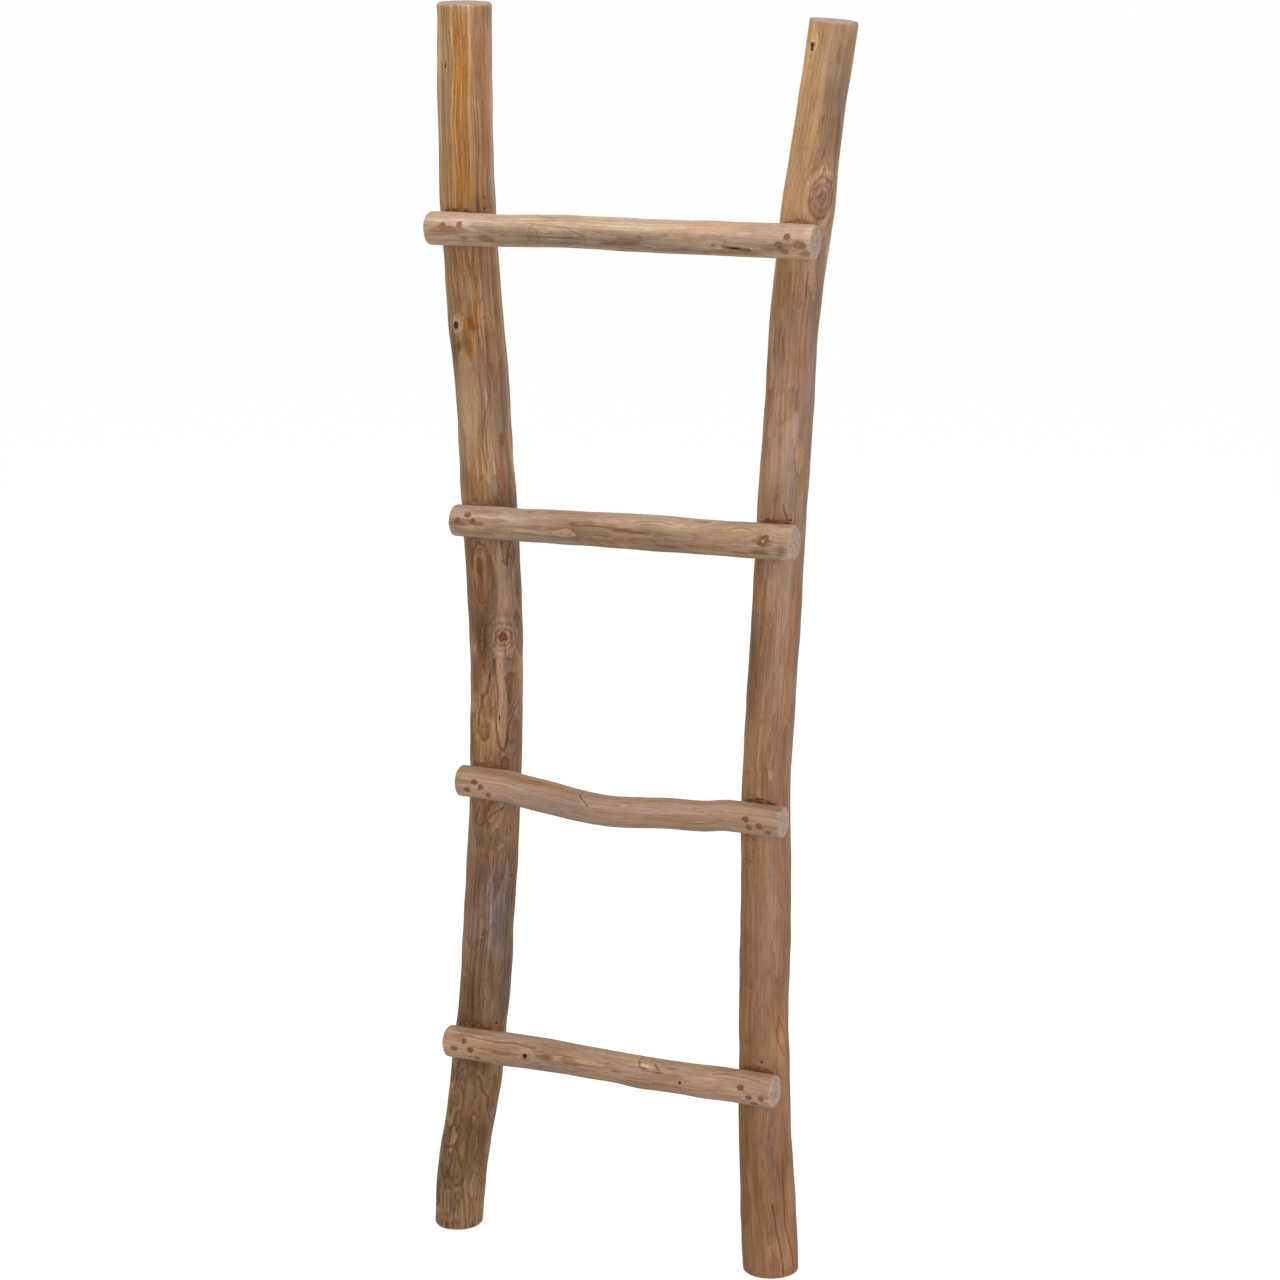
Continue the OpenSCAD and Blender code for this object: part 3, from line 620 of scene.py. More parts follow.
# Poles: growth rows are share of the height, bow, sway and girth; marks are as for the rungs, with
# (angle from the front towards the right, height, half width in degrees, half height, strength)
leftPole = {
    "node": "left_pole", "slot": "left_pole_wood", "place": -185, "height": 1505, "radius": 31, "seed": 5, "edge": 4,
    "growth": [
        (0, -43.5, -8.7, 0.955), (0.04, -40, -6, 0.975), (0.1, -26.5, -2, 1), (0.18, -11, -0.5, 1.015),
        (0.27, 0.5, -1, 0.995), (0.35, 10, -3, 1), (0.42, 15, -4, 0.995), (0.52, 15.5, -4, 1.03),
        (0.62, 7.5, -2, 1.045), (0.69, 1.5, 0, 1.015), (0.76, -8, 2, 1.04), (0.84, -15.5, 3, 1.035),
        (0.92, -18.5, 4, 1.025), (1, -18, 3, 1.025)],
    "ground": [
        (0, (130, 103, 74)), (0.15, (130, 103, 74)), (0.22, (124, 98, 72)), (0.28, (126, 101, 80)),
        (0.33, (132, 104, 76)), (0.46, (154, 121, 91)), (0.52, (132, 102, 76)), (0.6, (132, 104, 78)),
        (0.65, (164, 134, 103)), (0.72, (150, 118, 88)), (0.77, (148, 116, 85)), (0.83, (154, 120, 87)),
        (0.88, (174, 138, 101)), (1, (178, 142, 106))],
    "figureAlong": [
        (0, 0.6, 0.3, 0.85), (230, 0.6, 0.3, 0.8), (290, 0.4, 0.4, 0.6), (330, 0.35, 0.4, 0.5), (460, 0.35, 0.4, 0.52),
        (530, 0.45, 0.3, 0.7), (560, 0.55, 0.3, 0.8), (640, 0.55, 0.3, 0.85), (760, 0.4, 0.5, 0.8),
        (930, 0.3, 0.5, 0.65), (1000, 0.15, 0.5, 0.35), (1240, 0.15, 0.5, 0.35), (1300, 0.05, 0.5, 0.3),
        (1505, 0.05, 0.5, 0.3)],
    # Of the shade hills, (-36, 930) is painted light: it lightens the pole just above the second rung, against the
    # shade there. The others lighten or darken patches of the wood
    "shade": [
        (82, 1497, 24, 24, -0.46), (-36, 632, 20, 26, -0.34), (-34, 754, 16, 16, 0.56), (-36, 930, 16, 14, 0.5),
        (12, 20, 30, 30, -0.16), (35, 670, 12, 40, -0.14), (-30, 640, 14, 40, 0.12), (80, 1400, 18, 160, -0.05),
        (42, 810, 20, 90, 0.42), (34, 690, 16, 60, 0.22), (-25, 800, 26, 110, -0.1), (-25, 1060, 22, 60, 0.1),
        (20, 140, 40, 60, 0.12), (-4, 290, 44, 50, -0.26), (62, 120, 16, 44, -0.14), (0, 640, 18, 44, 0.14),
        (45, 640, 14, 30, -0.05), (2, 765, 16, 50, -0.14), (32, 960, 14, 44, 0.3), (62, 960, 14, 44, 0.12),
        (-32, 1100, 16, 50, -0.26), (30, 1290, 50, 36, 0.15), (42, 1160, 15, 66, 0.3), (64, 1150, 14, 70, 0.05),
        (38, 980, 12, 56, 0.26), (-22, 1137, 9, 8, 0.42), (-34, 1110, 12, 50, -0.24), (-6, 1160, 10, 30, -0.1),
        (-30, 650, 16, 60, 0.25), (-20, 1400, 40, 110, -0.12), (62, 300, 20, 50, 0.3)],
    "pink": [
        (50, 400, 40, 90, 0.9), (70, 300, 24, 60, 0.9), (62, 800, 34, 300, 0.9), (80, 1380, 34, 200, 0.9),
        (-10, 1380, 40, 200, -0.5), (30, 430, 40, 60, 0.6), (-30, 150, 50, 200, -0.3)],
    "hills": [
        (0, 845, 19, 30, 2.2), (43, 825, 12, 55, 0.8), (69, 868, 11, 16, 1.5), (56, 534, 17, 10, 2),
        (47, 486, 14, 22, 1.5), (75, 492, 10, 25, 1.5), (35, 685, 13, 52, 1.2), (63, 1000, 11, 12, 1),
        (-10, 660, 14, 22, 1.4), (-30, 90, 14, 26, 1.2), (50, 60, 12, 34, 1.2), (10, 175, 9, 28, 1),
        (-22, 1135, 16, 14, 1)],
    "amber": [
        (20, 1274, 14, 14, 0.4), (43, 930, 10, 14, 0.5), (-47, 425, 10, 24, 0.4), (8, 1395, 6, 116, 0.72),
        (7, 1300, 7, 40, 0.68), (24, 1370, 5, 110, 0.68), (25, 1300, 5, 40, 0.64), (11, 1476, 8, 22, 0.8),
        (16, 1310, 4, 50, 0.5), (22, 1400, 24, 112, 0.52), (-9, 1330, 3, 60, 0.5), (36, 1380, 2.5, 90, 0.45),
        (29, 1190, 4, 46, 0.5), (27, 1152, 4, 14, 0.66), (15, 1135, 17, 11, 0.86), (2, 1113, 7, 19, 0.78),
        (-8, 1190, 2.5, 42, 0.5), (-14, 970, 3, 34, 0.7), (-3, 966, 4, 32, 0.6), (5, 968, 3, 36, 0.5),
        (14, 965, 5, 42, 0.5), (-24, 962, 4, 30, 0.65), (-8, 960, 20, 26, 0.4), (20, 1120, 3, 20, 0.6),
        (-30, 960, 5, 26, 0.4), (-12, 430, 10, 60, 0.25), (-4, 780, 20, 60, 0.4), (60, 960, 14, 44, 0.35)],
    "pale": [
        (48, 1090, 9, 50, 0.42), (50, 415, 34, 66, 0.42), (-10, 640, 22, 44, 0.45), (-1, 1390, 2.2, 108, 0.14),
        (16, 1385, 1.8, 112, 0.3), (32, 1390, 1.8, 100, 0.1), (-20, 1340, 4, 80, 0.3), (-10, 1055, 27, 50, 1),
        (12, 1190, 9, 30, 0.45), (35, 685, 13, 56, 1), (43, 836, 15, 48, 0.75), (66, 820, 12, 40, 0.5),
        (-18, 1137, 23, 9.5, 2.2), (28, 960, 4, 8, 0.8), (0, 1021, 2, 7, 0.9), (-22, 92, 12, 12, 0.45),
        (48, 55, 9, 26, 0.45), (47, 488, 10, 18, 0.5), (-34, 1400, 10, 90, 0.25), (42, 1165, 10, 50, 0.42),
        (38, 985, 9, 45, 0.36), (-30, 676, 10, 22, 0.4), (34, 1060, 4, 40, 0.45), (41, 1040, 3, 30, 0.5)],
    "blueGrey": [
        (-18, 1137, 23, 9.5, 0.9), (86, 1400, 16, 115, 0.3), (30, 430, 14, 60, 0.5), (44, 1280, 6, 10, 0.8),
        (-26, 1205, 10, 15, 0.7), (62, 1060, 26, 100, 0.5), (45, 830, 9, 60, 0.55), (75, 820, 20, 70, 0.4),
        (46, 425, 34, 66, 0.62), (53, 310, 9, 10, 0.9), (66, 300, 20, 50, 0.6), (50, 160, 8, 22, 0.6),
        (13, 1062, 5, 3.5, 0.8), (75, 650, 20, 50, 0.4), (70, 330, 22, 50, 0.4), (-8, 160, 10, 12, 0.3)],
    "brown": [
        (14, 1139, 9, 7, 0.5), (22, 1129, 6, 7, 0.6), (0, 1110, 6, 12, 0.45), (-20, 1114, 9, 8, 0.7),
        (-26, 1100, 9, 12, 0.5), (29, 1200, 2, 36, 0.6), (-16, 1185, 3, 50, 0.5), (63, 1000, 9, 11, 0.8),
        (0, 842, 10, 19, 0.7), (-28, 860, 12, 34, 0.5), (-6, 890, 22, 6, 0.6), (-42, 700, 12, 60, 0.3),
        (60, 700, 10, 40, 0.5), (-35, 560, 16, 14, 0.5), (10, 560, 14, 12, 0.5), (-40, 330, 16, 40, 0.4),
        (-15, 340, 14, 40, 0.4), (25, 120, 6, 44, 0.5), (-15, 70, 9, 12, 0.6), (40, 20, 7, 30, 0.4),
        (63, 1135, 9, 15, 0.4)],
    "rust": [
        (58, 1280, 9, 10, 0.5), (66, 1400, 16, 100, 0.55), (58, 1310, 12, 50, 0.4), (80, 1350, 6, 30, 0.7),
        (70, 1140, 6, 12, 0.6), (75, 697, 5, 4, 0.9), (-32, 1115, 6, 12, 0.5), (60, 960, 14, 50, 0.5),
        (62, 1090, 16, 60, 0.55), (-30, 120, 5, 6, 0.8), (30, 155, 7, 5, 0.6)],
    "olive": [
        (-32, 640, 20, 32, 1), (-8, 1040, 30, 70, 0.5), (-4, 775, 16, 50, 0.3), (-25, 690, 12, 40, 0.3),
        (0, 640, 18, 10, 0.5), (-20, 545, 20, 10, 0.5), (30, 590, 14, 8, 0.4), (-38, 470, 12, 40, 0.35),
        (-20, 215, 20, 10, 0.4)],
    "darkPaths": [
        (-0.7, [(-38, 1137), (-28, 1148), (-12, 1146), (2, 1138), (-6, 1127), (-28, 1125), (-38, 1137)]),
        (-0.4, [(-40, 105), (-22, 107), (-8, 112), (5, 107), (8, 96)]),
        (-0.6, [(8, 96), (22, 84), (27, 65), (34, 30), (42, 0)]), (-0.8, [(-16, 78), (-20, 60), (-8, 40), (-4, 0)]),
        (-0.6, [(50, 62), (60, 75), (74, 70), (80, 50)]), (-0.8, [(10, 40), (20, 52), (30, 40)]),
        (-0.8, [(-30, 166), (-27, 190), (-20, 205), (-8, 214)]),
        (-0.3, [(28, 206), (40, 192), (58, 180), (62, 160), (70, 150)]),
        (-0.4, [(-12, 560), (-24, 540), (-12, 530), (2, 538), (18, 550), (40, 556)]),
        (-0.8, [(28, 515), (27, 490), (28, 462)]), (-0.6, [(62, 470), (80, 468)]),
        (0, [(21, 740), (26, 700), (22, 660), (28, 632), (40, 624), (48, 640)]),
        (0, [(-20, 655), (-8, 690), (4, 697), (12, 720)]),
        (-0.9, [(26, 1125), (30, 1092), (32, 1075), (39, 1052), (34, 1040), (28, 1032), (21, 1022), (17, 1000),
               (22, 980), (27, 960)]),
        (-1.25, [(33, 1110), (37, 1082), (45, 1056), (42, 1042), (36, 1030), (28, 1018), (25, 1000), (29, 982)]),
        (0, [(-22, 845), (-18, 870), (-4, 880), (10, 876)]),
        (0, [(47, 880), (50, 850), (58, 848), (64, 870), (76, 882)]),
        (-1.2, [(34, 1140), (45, 1147), (57, 1141), (66, 1120), (68, 1090)]),
        (-1.2, [(-8, 1480), (-4, 1462), (1, 1452), (2, 1400)])],
    "rustPaths": [
        (-0.6, [(30, 1228), (27, 1200), (29, 1165), (27, 1140)]), (-0.3, [(-12, 1225), (-9, 1190), (-13, 1150)])],
    "spots": [
        (-16.5, 1435, 2.2, 7), (62, 1283, 3, 2.5), (62, 1270, 3.4, 2.6), (57, 277, 3.5, 3), (64, 265, 3.2, 3),
        (-22, 1136, 8.5, 9.5), (31, 667, 1.8, 9), (25, 310, 1.6, 6), (65, 1392, 2, 5)],
    "knots": [(40.5, 766, 28, 17, 0.7), (205, 1090, 30, 18, 1), (165, 420, 26, 16, 0.8)],
    "holes": [(-22, 1136, 3.4, 2.6)],
    "finish": {
        "lift": 1.27, "lines": 0.85, "cloudy": 0.5, "bands": 1, "bandPitch": 0.28, "hair": 0.6, "pull": 0.75,
        "growthLines": 0.55, "ragged": 1.1, "layerBrown": 0.8, "knotShare": 1, "knotRough": 0.75, "pith": (-3, 4),
        # endLight here is painted shade that darkens the pole's end grain against the lamp above
        "endLight": 0.72,
        "knotRings": [
            (0, (164, 128, 114)), (0.24, (152, 110, 94)), (0.34, (134, 108, 100)), (0.42, (196, 200, 200)),
            (0.54, (194, 196, 196)), (0.62, (158, 142, 132)), (0.72, (200, 206, 208)), (0.9, (206, 212, 216)),
            (0.96, (170, 158, 148)), (1, (190, 190, 190))],
    },
}
rightPole = {
    "node": "right_pole", "slot": "right_pole_wood", "place": 185, "height": 1496, "radius": 29, "seed": 17,
    "edge": 1.8,
    "growth": [
        (0, -4, 6.3, 1.15), (0.06, -6, 2.5, 1.145), (0.13, -10, 0.5, 1.075), (0.22, -11, 0, 1.03),
        (0.33, -11, 3, 1.035), (0.41, -12, 5, 0.995), (0.48, -7, 5, 1.005), (0.55, -0.5, 4, 0.985), (0.63, 6, 2, 0.98),
        (0.71, 14, 0, 0.985), (0.78, 21, -2, 0.98), (0.82, 27.5, -2, 1), (0.86, 35, -2, 1.045), (0.9, 43, -2, 0.94),
        (0.95, 52.5, 0, 0.92), (1, 63, 2, 0.925)],
    "ground": [
        (0, (146, 109, 78)), (0.2, (148, 111, 80)), (0.42, (156, 121, 92)), (0.6, (158, 124, 95)),
        (0.68, (163, 130, 102)), (0.77, (154, 121, 94)), (0.85, (178, 141, 106)), (1, (184, 149, 113))],
    "figureAlong": [
        (0, 0.2, 0.6, 0.4), (600, 0.2, 0.6, 0.4), (900, 0.25, 0.6, 0.45), (1250, 0.25, 0.6, 0.45),
        (1300, 0.15, 0.5, 0.35), (1500, 0.15, 0.5, 0.35)],
    # Of the shade hills, (-14, 872) and (12, 1218) are painted shadow just under the second and top rungs. (78, 1400)
    # is painted shade that darkens the top of the pole towards its right edge. The others lighten or darken patches of
    # the wood
    "shade": [
        (-14, 872, 50, 18, -0.2), (58, 262, 14, 10, -0.2), (12, 1218, 22, 12, -0.2), (-45, 500, 30, 600, -0.16),
        (40, 760, 40, 260, 0.16), (78, 1400, 22, 100, -0.34), (34, 1410, 24, 90, -0.4), (-35, 770, 26, 70, -0.36),
        (-12, 350, 30, 110, -0.2), (5, 770, 14, 60, -0.12), (28, 1110, 14, 60, -0.14), (62, 290, 18, 50, 0.5),
        (62, 970, 18, 60, 0.12), (62, 20, 16, 60, 0.24), (-36, 290, 18, 44, 0.4), (-34, 420, 16, 44, -0.2),
        (0, 420, 16, 50, -0.14), (2, 960, 15, 50, -0.2), (-34, 1100, 16, 60, -0.13), (-34, 1290, 16, 44, 0.2),
        (-34, 640, 18, 44, 0.18), (-34, 960, 18, 44, 0.2), (30, 420, 16, 44, -0.12), (-30, 1470, 8, 11, 0.12)],
    "pink": [(60, 700, 50, 800, 0.8), (-50, 500, 34, 700, -0.9), (-30, 1400, 50, 160, -0.8), (70, 1350, 30, 200, 0.6)],
    "hills": [
        (-22, 537, 14, 12, 1.5), (77, 112, 15, 38, 1.5), (65, 308, 13, 24, 1.4), (-5, 275, 30, 9, 1),
        (30, 990, 9, 42, 0.8)],
    "amber": [
        (-20, 1300, 24, 40, 0.25), (-25, 1440, 12, 4, 0.5), (-40, 870, 16, 40, 0.3), (-45, 300, 10, 60, 0.3),
        (60, 340, 14, 60, 0.35), (60, 640, 14, 60, 0.35)],
    "pale": [
        (24, 1010, 18, 70, 0.6), (31, 985, 8, 40, 0.4), (25, 632, 5, 8, 0.7), (77, 112, 13, 34, 0.7),
        (-27, 1466, 15, 13, 1), (35, 1215, 5, 18, 0.45), (32, 860, 16, 110, 0.5), (46, 1318, 14, 4, 0.5),
        (66, 1490, 18, 4, 0.5)],
    # The blue-grey patch at (12, 1219) greys the painted shadow under the top rung
    "blueGrey": [
        (12, 1219, 16, 11, 0.5), (66, 1400, 22, 110, 0.3), (78, 1150, 20, 120, 0.4), (86, 800, 12, 260, 0.6),
        (46, 1300, 20, 14, 0.3), (40, 930, 8, 12, 0.4), (28, 970, 18, 60, 0.6), (20, 520, 16, 30, 0.2)],
    "brown": [
        (-16, 825, 4.5, 48, 0.85), (-28, 160, 6, 46, 0.7), (-35, 560, 10, 8, 0.4), (-44, 110, 10, 80, 0.35),
        (8, 420, 8, 60, 0.2), (-14, 720, 6, 60, 0.3)],
    "rust": [
        (58, 640, 12, 200, 0.55), (66, 828, 10, 60, 0.6), (50, 570, 6, 110, 0.5), (74, 560, 8, 200, 0.42),
        (64, 150, 12, 90, 0.45), (62, 460, 9, 70, 0.45), (48, 1100, 3, 110, 0.45), (-48, 860, 6, 40, 0.4),
        (55, 1010, 3, 60, 0.4), (60, 1390, 3, 60, 0.35), (72, 300, 6, 30, 0.5), (60, 210, 5, 24, 0.5),
        (40, 1175, 4, 25, 0.45)],
    "olive": [
        (-16, 1208, 16, 26, 1), (-24, 1180, 8, 18, 0.6), (-30, 880, 12, 24, 0.6), (-35, 300, 12, 30, 0.4),
        (12, 285, 10, 5, 0.5), (-40, 640, 12, 60, 0.3), (5, 100, 10, 20, 0.25)],
    "darkPaths": [
        (-1.1, [(28, 95), (34, 70), (42, 48), (46, 25), (50, 0)]),
        (-1.1, [(58, 150), (56, 120), (57, 75), (66, 40), (78, 10)]), (-1, [(-40, 548), (-24, 553), (-8, 548)]),
        (-1.1, [(-40, 536), (-24, 540), (-8, 535)]), (-1.2, [(-38, 525), (-24, 527), (-10, 523)]),
        (-0.5, [(24, 950), (33, 943), (41, 934)]), (0.1, [(40, 936), (47, 926)]), (-0.9, [(31, 944), (34, 930)]),
        (-0.9, [(39, 948), (42, 932)]), (-0.4, [(20, 956), (24, 950)]),
        (-1.2, [(-40, 1465), (-30, 1481), (-20, 1466), (-28, 1451), (-39, 1463)]),
        (-1, [(36, 1324), (46, 1342), (55, 1325)]), (-1, [(41, 1220), (38, 1205), (42, 1190)])],
    "rustPaths": [
        (0, [(53, 335), (50, 310), (62, 292), (74, 286)]), (0, [(53, 335), (66, 322), (80, 305)]),
        (0, [(58, 152), (56, 120), (57, 75), (68, 38), (80, 8)]),
        (0, [(28, 95), (34, 70), (42, 48), (46, 25), (50, 0)])],
    "spots": [
        (-29.5, 1469.2, 8, 4.4), (-28.5, 1463.6, 8, 4), (34, 965, 3, 2.4), (45, 929, 5, 4.5), (15, 278, 4, 2.4),
        (41, 936, 3, 2.5)],
    "knots": [(46, 1306, 30, 24, 1.5), (190, 760, 28, 18, 1), (230, 250, 24, 15, 0.9)],
    "finish": {
        "lift": 1.19, "lines": 0.6, "cloudy": 1.2, "bands": 0.4, "bandPitch": 0.6, "hair": 0.7, "pull": 0.4,
        "growthLines": 0.2, "ragged": 0.9, "layerBrown": 0.5, "knotShare": 1, "knotRough": 0.35, "pith": (3, 3),
        # endLight here is painted shade that darkens the pole's end grain against the lamp above
        "endLight": 0.72,
        "knotRings": [
            (0, (146, 134, 134)), (0.14, (166, 160, 164)), (0.26, (158, 150, 154)), (0.4, (180, 180, 188)),
            (0.56, (168, 164, 170)), (0.66, (160, 154, 158)), (0.76, (182, 182, 190)), (0.87, (170, 166, 172)),
            (0.94, (148, 136, 132)), (1, (172, 166, 162))],
    },
}
poles = [leftPole, rightPole]

# Grid sizes, the height where a pole's rings leave the level, the relief's share on the rungs, the rungs' rounded edge,
# how far from a joint and how many times closer a pole's rings are, and how steeply knots and holes fall off
shapeDetail = {"poleColumns": 152, "poleRows": 604, "rungColumns": 112, "rungRows": 520, "footLevel": 60,
               "rungRelief": 0.75, "rungEdge": 5.0, "jointWidth": 32, "jointRows": 1.9,
               "knotFall": 1.6, "holeFall": 1.5}
# Waves over the skin: shift of the seed, height, most swings round it, shortest length in mm, count, fewest swings
skinWaves = {
    "swell": (0, 0.4, 3, 130), "ripple": (1, 0.18, 7, 45), "wander": (2, 2.0, 5, 60), "stray": (3, 4.0, 5, 50),
    "mottle": (4, 1, 6, 62), "flow": (5, 1.6, 3, 90), "flame": (6, 1, 8, 260, 26, 2),
}


# Some kinds of wave on a piece, each times its height
def wavesOn(piece, turn, along, *kinds):
    return [skinWaves[kind][1] * waves(turn, along, piece["seed"] + skinWaves[kind][0], *skinWaves[kind][2:])
            for kind in kinds]


# Middle of a pole at a height: its place across, plus the table's bow and sway
def poleAxis(pole, height):
    bow, sway = (smoothColumn(pole["growth"], column, height / pole["height"], 1) for column in (1, 2))
    return np.stack([pole["place"] + bow, sway, height + 0 * bow], -1) - middle


# Radius of a pole at a height: its usual radius times the table's girth
def poleRadius(pole, height):
    return pole["radius"] * smoothColumn(pole["growth"], 3, height / pole["height"], 1)


# Directions of a ring's right and back: square to the pole's axis, but level at the foot
def poleRing(pole, height):
    upright = np.array([0, 0, 1.0])
    lean = unit(poleAxis(pole, height + 1) - poleAxis(pole, height - 1))
    lean = unit(upright + (lean - upright) * np.minimum(height / shapeDetail["footLevel"], 1)[..., None])
    right = unit(np.array([1.0, 0, 0]) - lean * lean[..., :1])
    return right, np.cross(lean, right)


# Radius of a rung at a share of the way between the poles: its usual radius times the table's girth
def rungRadius(rung, share):
    return rung["radius"] * smoothColumn(rung["growth"], 3, share, 0)


# Middle of a rung where it crosses a pole: in front of the pole's axis by both radii less the saddle's depth
def crossing(rung, side):
    height = rung["height"] + side * rung["rise"]
    depth = joints["saddleDepth"] - poleRadius(poles[side], height) - rungRadius(rung, side)
    return poleAxis(poles[side], height) + np.array([0, depth, 0])


# Middle of a rung: the straight line between its crossings, plus the table's shifts up and back
def rungAxis(rung, share):
    low, high = crossing(rung, 0), crossing(rung, 1)
    up, back = (smoothColumn(rung["growth"], column, share, 0) for column in (1, 2))
    return low + (high - low) * share[..., None] + np.stack([0 * up, back, up], -1)


# Distance between the middles of a rung's crossings, from left to right
def rungSpan(rung):
    return crossing(rung, 1)[0] - crossing(rung, 0)[0]


# Slow out-of-round swelling, finer ripples left by the drawknife, hills at knots and dents at holes
def skinRelief(piece, turn, along, radius):
    relief = sum(wavesOn(piece, turn, along, "swell", "ripple"))
    for knot in piece["knots"]:
        relief += knot[4] * bell(ovalReach(turn, along, knot), shapeDetail["knotFall"])
    for atTurn, atAlong, size, depth in piece.get("holes", []):
        aside = turnGap(turn, atTurn) * math.pi / 180 * radius
        relief -= depth * bell(np.hypot(aside, along - atAlong) / size, shapeDetail["holeFall"])
    return relief


# Radius of a rung's skin: its radius plus a share of the relief
def rungSkin(rung, turn, along):
    radius = rungRadius(rung, along / rungSpan(rung))
    return radius + shapeDetail["rungRelief"] * skinRelief(rung, turn, along, radius)


# Directions out of a rung at an angle up from its front
def rungWay(turn):
    angle = np.radians(turn)
    return np.stack([0 * angle, -np.cos(angle), np.sin(angle)], -1)


# Heights of a saddle's upper and lower lip past the rung's side at x: a usual height and a wobble of two sines,
# each with its radians per mm, its times of the seed and its weight
def lipHeights(rung, side, x):
    sines = [weight * np.sin(x * pitch + times * rung["seed"] + side) for pitch, times, weight in joints["lipWaves"]]
    wobble = sum(sines) / sum(weight for _, _, weight in joints["lipWaves"])
    return joints["lipAbove"] + joints["lipWobble"] * wobble, joints["lipBelow"] + joints["lowerWobble"] * wobble


# The rung's axis at a joint, as a straight line: its depth and height at x
def jointLine(rung, side, x):
    half = poleRadius(poles[side], rung["height"]) / rungSpan(rung)
    ends = rungAxis(rung, np.array([side - half, side + half]))
    centre, way = crossing(rung, side), ends[1] - ends[0]
    return centre[1] + (x - centre[0]) * way[1] / way[0], centre[2] + (x - centre[0]) * way[2] / way[0]


# Distance out from the pole's axis to its skin, cut back to the saddle's wall where a rung sits in it;
# the wall is a round of the rung's radius, stretched between the lips, and is met after a few tries
def cutToSaddles(side, centre, way, reach):
    for rung in rungs:
        radius = rungRadius(rung, side) + joints["saddleGap"]
        for _ in range(joints["tries"]):
            point = centre + way * reach[..., None]
            depth, height = jointLine(rung, side, point[..., 0])
            above, below = lipHeights(rung, side, point[..., 0] - crossing(rung, side)[0])
            off = point[..., 2] - height
            off = off - np.clip(off, -below, above)
            wall = depth + np.sqrt(np.maximum(radius * radius - off * off, 0))
            front = way[..., 1] < joints["frontWay"]
            limit = (wall - centre[..., 1]) / np.where(front, way[..., 1], -1)
            reach = np.where(front & (np.abs(off) < radius), np.minimum(reach, np.maximum(limit, 1)), reach)
    return reach


# Marks for the side that the photograph doesn't show, drawn at random from each kind's usual sizes. There are a share
# of one for every so many millimetres, with one crack for every four and one dot for every three
unseen = {
    "seed": 7, "turn": (118, 285), "every": 38, "wide": (3, 12), "tall": (8, 46), "strength": (0.45, 0.8),
    "share": {"amber": 0.5, "pale": 0.7, "blueGrey": 0.4, "brown": 0.9, "rust": 0.5, "olive": 0.4, "hills": 0.3},
    "perCrack": 4, "crackLength": (15, 60), "crackWidth": (-1.2, -0.3), "crackBend": (6, 9),
    "perDot": 3, "dotWide": (2, 4), "dotTall": (2, 5),
}


# A copy of a piece with the unseen marks added to its own
def unseenMarks(piece, low, high):
    draw = np.random.default_rng(piece["seed"] + unseen["seed"])
    marked = dict(piece)
    count = int((high - low) / unseen["every"])
    def place():
        return draw.uniform(*unseen["turn"]), draw.uniform(low, high)
    def drawn(*kinds):
        return tuple(draw.uniform(*unseen[kind]) for kind in kinds)
    for key, share in unseen["share"].items():
        rows = [(*place(), *drawn("wide", "tall", "strength")) for _ in range(int(count * share))]
        marked[key] = piece.get(key, []) + rows
    cracks = []
    for _ in range(count // unseen["perCrack"]):
        (turn, along), (length, width) = place(), drawn("crackLength", "crackWidth")
        middleBend, endBend = (draw.uniform(-bend, bend) for bend in unseen["crackBend"])
        points = [(turn, along), (turn + middleBend, along + length / 2), (turn + endBend, along + length)]
        cracks.append((width, points))
    marked["darkPaths"] = piece["darkPaths"] + cracks
    dots = [(*place(), *drawn("dotWide", "dotTall")) for _ in range(count // unseen["perDot"])]
    marked["spots"] = piece.get("spots", []) + dots
    return marked


# The marks that the material reads, for points at an angle round a piece and a place along it
def markFields(piece, bar, radius):
    turn, along = bar["turn"], bar["along"]
    wander, stray, patchy, flow, long = wavesOn(piece, turn, along, "wander", "stray", "mottle", "flow", "flame")
    atTurn, atAlong = turn + wander, along + stray
    knot, push = knotField(piece["knots"], turn, along)
    table = np.array(piece["figureAlong"], float)
    mottle, flame, contrast = (np.interp(along, table[:, 0], table[:, column]) for column in (1, 2, 3))
    hills = hillField(piece["hills"], atTurn, atAlong)
    layer = 0.5 + hills + (1 - np.clip(abs(hills), 0, 0.8)) * (mottle * patchy + flame * long)
    # Place on a straight bar of the same girth: to the right, back and along
    def unbent(turns):
        angle = np.radians(turns)
        return radius * bar["share"] * np.sin(angle), -radius * bar["share"] * np.cos(angle), along
    def soft(*keys):
        return [patchField(piece[key], atTurn, atAlong) for key in keys]
    def paths(key):
        return pathField(piece.get(key, []), turn + 0.5 * wander, along + 0.5 * stray, radius)
    fields = {
        "section": unbent(turn), "grain": unbent(turn + push + flow),
        "figure": (layer, knot, bar["end"]),
        # mood holds the figure's contrast, the shade hills (partly painted shade and highlight) and the pink hills
        "mood": (contrast, hillField(piece["shade"], turn, along), hillField(piece["pink"], turn, along)),
        "warmth": soft("amber", "pale", "blueGrey"), "stain": soft("brown", "rust", "olive"),
        "trace": (paths("darkPaths"), paths("rustPaths"), spotField(piece["spots"], turn, along, radius)),
    }
    return {key: np.stack(parts, -1) for key, parts in fields.items()}


# Skins a pole or rung with its rings, marks and wood; an end point has the mean marks of the ring round it
def addBranch(piece, finish, bar, radius, points, ends):
    fields = markFields(unseenMarks(piece, bar["low"], bar["high"]), bar, radius)
    fields = {key: (grid, grid[[0, -1]].mean(1)) for key, grid in fields.items()}
    look = {**finish, **{key: piece[key] for key in ("seed", "ground")}, **{key: bar[key] for key in ("low", "high")}}
    node = piece["node"]
    addPiece(node + "_wood", [(points, ends, fields)], woodMaterial(node + "_wood", look), node)


